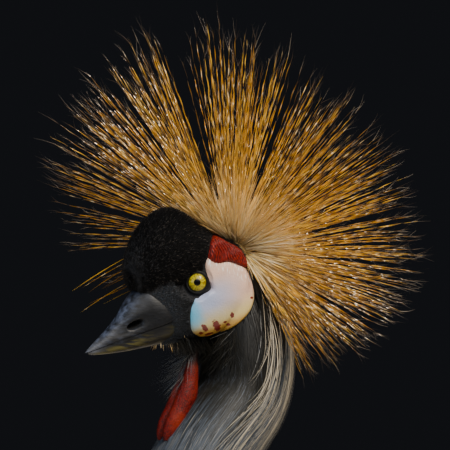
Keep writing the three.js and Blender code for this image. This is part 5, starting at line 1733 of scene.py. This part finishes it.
def toe_surface(side, turn, length):
    """Surface of one toe: share of its length, degrees from its top, lift; flat where it meets the floor."""
    way, across = toe_axes(side, turn)

    def on_toe(place, turn, lift):
        place, turn, lift = np.broadcast_arrays(place, np.radians(turn), lift)
        thick, height = np.moveaxis(spline(TOE_SHAPE, place), -1, 0)
        root = np.array([TOE_ROOT[0], side * TOE_ROOT[1], 0])
        flat = root + (place * length)[..., None] * way
        sideways = ((thick + lift) * np.sin(turn))[..., None] * across
        up = np.maximum(height + (thick + lift) * np.cos(turn), 0.0)
        return flat + sideways + up[..., None] * np.array([0, 0, 1.0])

    return on_toe


def claw_grid(side, turn, length, reach, rows=26, columns=24):
    """Curved claw: a tapering oval whose middle arches with the sine of the run and dips with its square."""
    way, across = toe_axes(side, turn)
    t = np.linspace(0, 1, rows)[:, None]
    around = np.linspace(-np.pi, np.pi, columns + 1)
    root = np.array([TOE_ROOT[0], side * TOE_ROOT[1], CLAW_HEIGHT]) + way * (length - 1.0 * MM)
    thick = CLAW_HALF * np.sqrt(np.clip(1 - t, 0, 1)) * (1 - 0.25 * t)
    height = (0.6 * np.sin(np.pi * t) - 1.9 * t**2) * MM + thick * 1.15 * np.cos(around)
    flat = root + (reach * t)[..., None] * way + (thick * np.sin(around))[..., None] * across
    grid = flat + height[..., None] * np.array([0, 0, 1.0])
    start = np.broadcast_to(grid[0, :-1].mean(axis=0), (1, columns + 1, 3))
    return np.concatenate([start, grid])[None]


def make_legs():
    """Bare legs, feet and claws."""
    scales, horn = leg_scales(), claw_horn()
    for name, side in SIDES.items():
        leg = leg_surface(side)
        places = np.linspace(THIGH_END - 0.5, len(LEG) - 1.05, 620)
        shank = Surface().add(scuted(leg, places, 44, 0.09)).mesh("leg", solid=True)
        show(f"leg_{name}_skin", shank, scales, "leg_skin", f"shank_{name}", f"tarsus_{name}")
        foot, claws, nodes = Surface(), Surface(), []
        for toe, (turn, length, reach) in TOES.items():
            foot.add(scuted(toe_surface(side, turn, length), np.linspace(0, 1, 150), 36, 0.055))
            claws.add(claw_grid(side, turn, length, reach))
            nodes.append(f"claw_{name}_{toe}")
        show(f"foot_{name}_skin", foot.mesh("foot", solid=True), scales, "leg_skin", f"foot_{name}")
        show(f"claws_{name}", claws.mesh("claws", solid=True), horn, "claws", *nodes)


stage_and_camera()
make_skin()
make_bare_skin()
make_wattle()
make_bill()
make_crest()
make_cap()
make_face()
make_neck()
make_loose_hairs()
make_breast()
make_body()
make_wings()
make_tail()
make_legs()
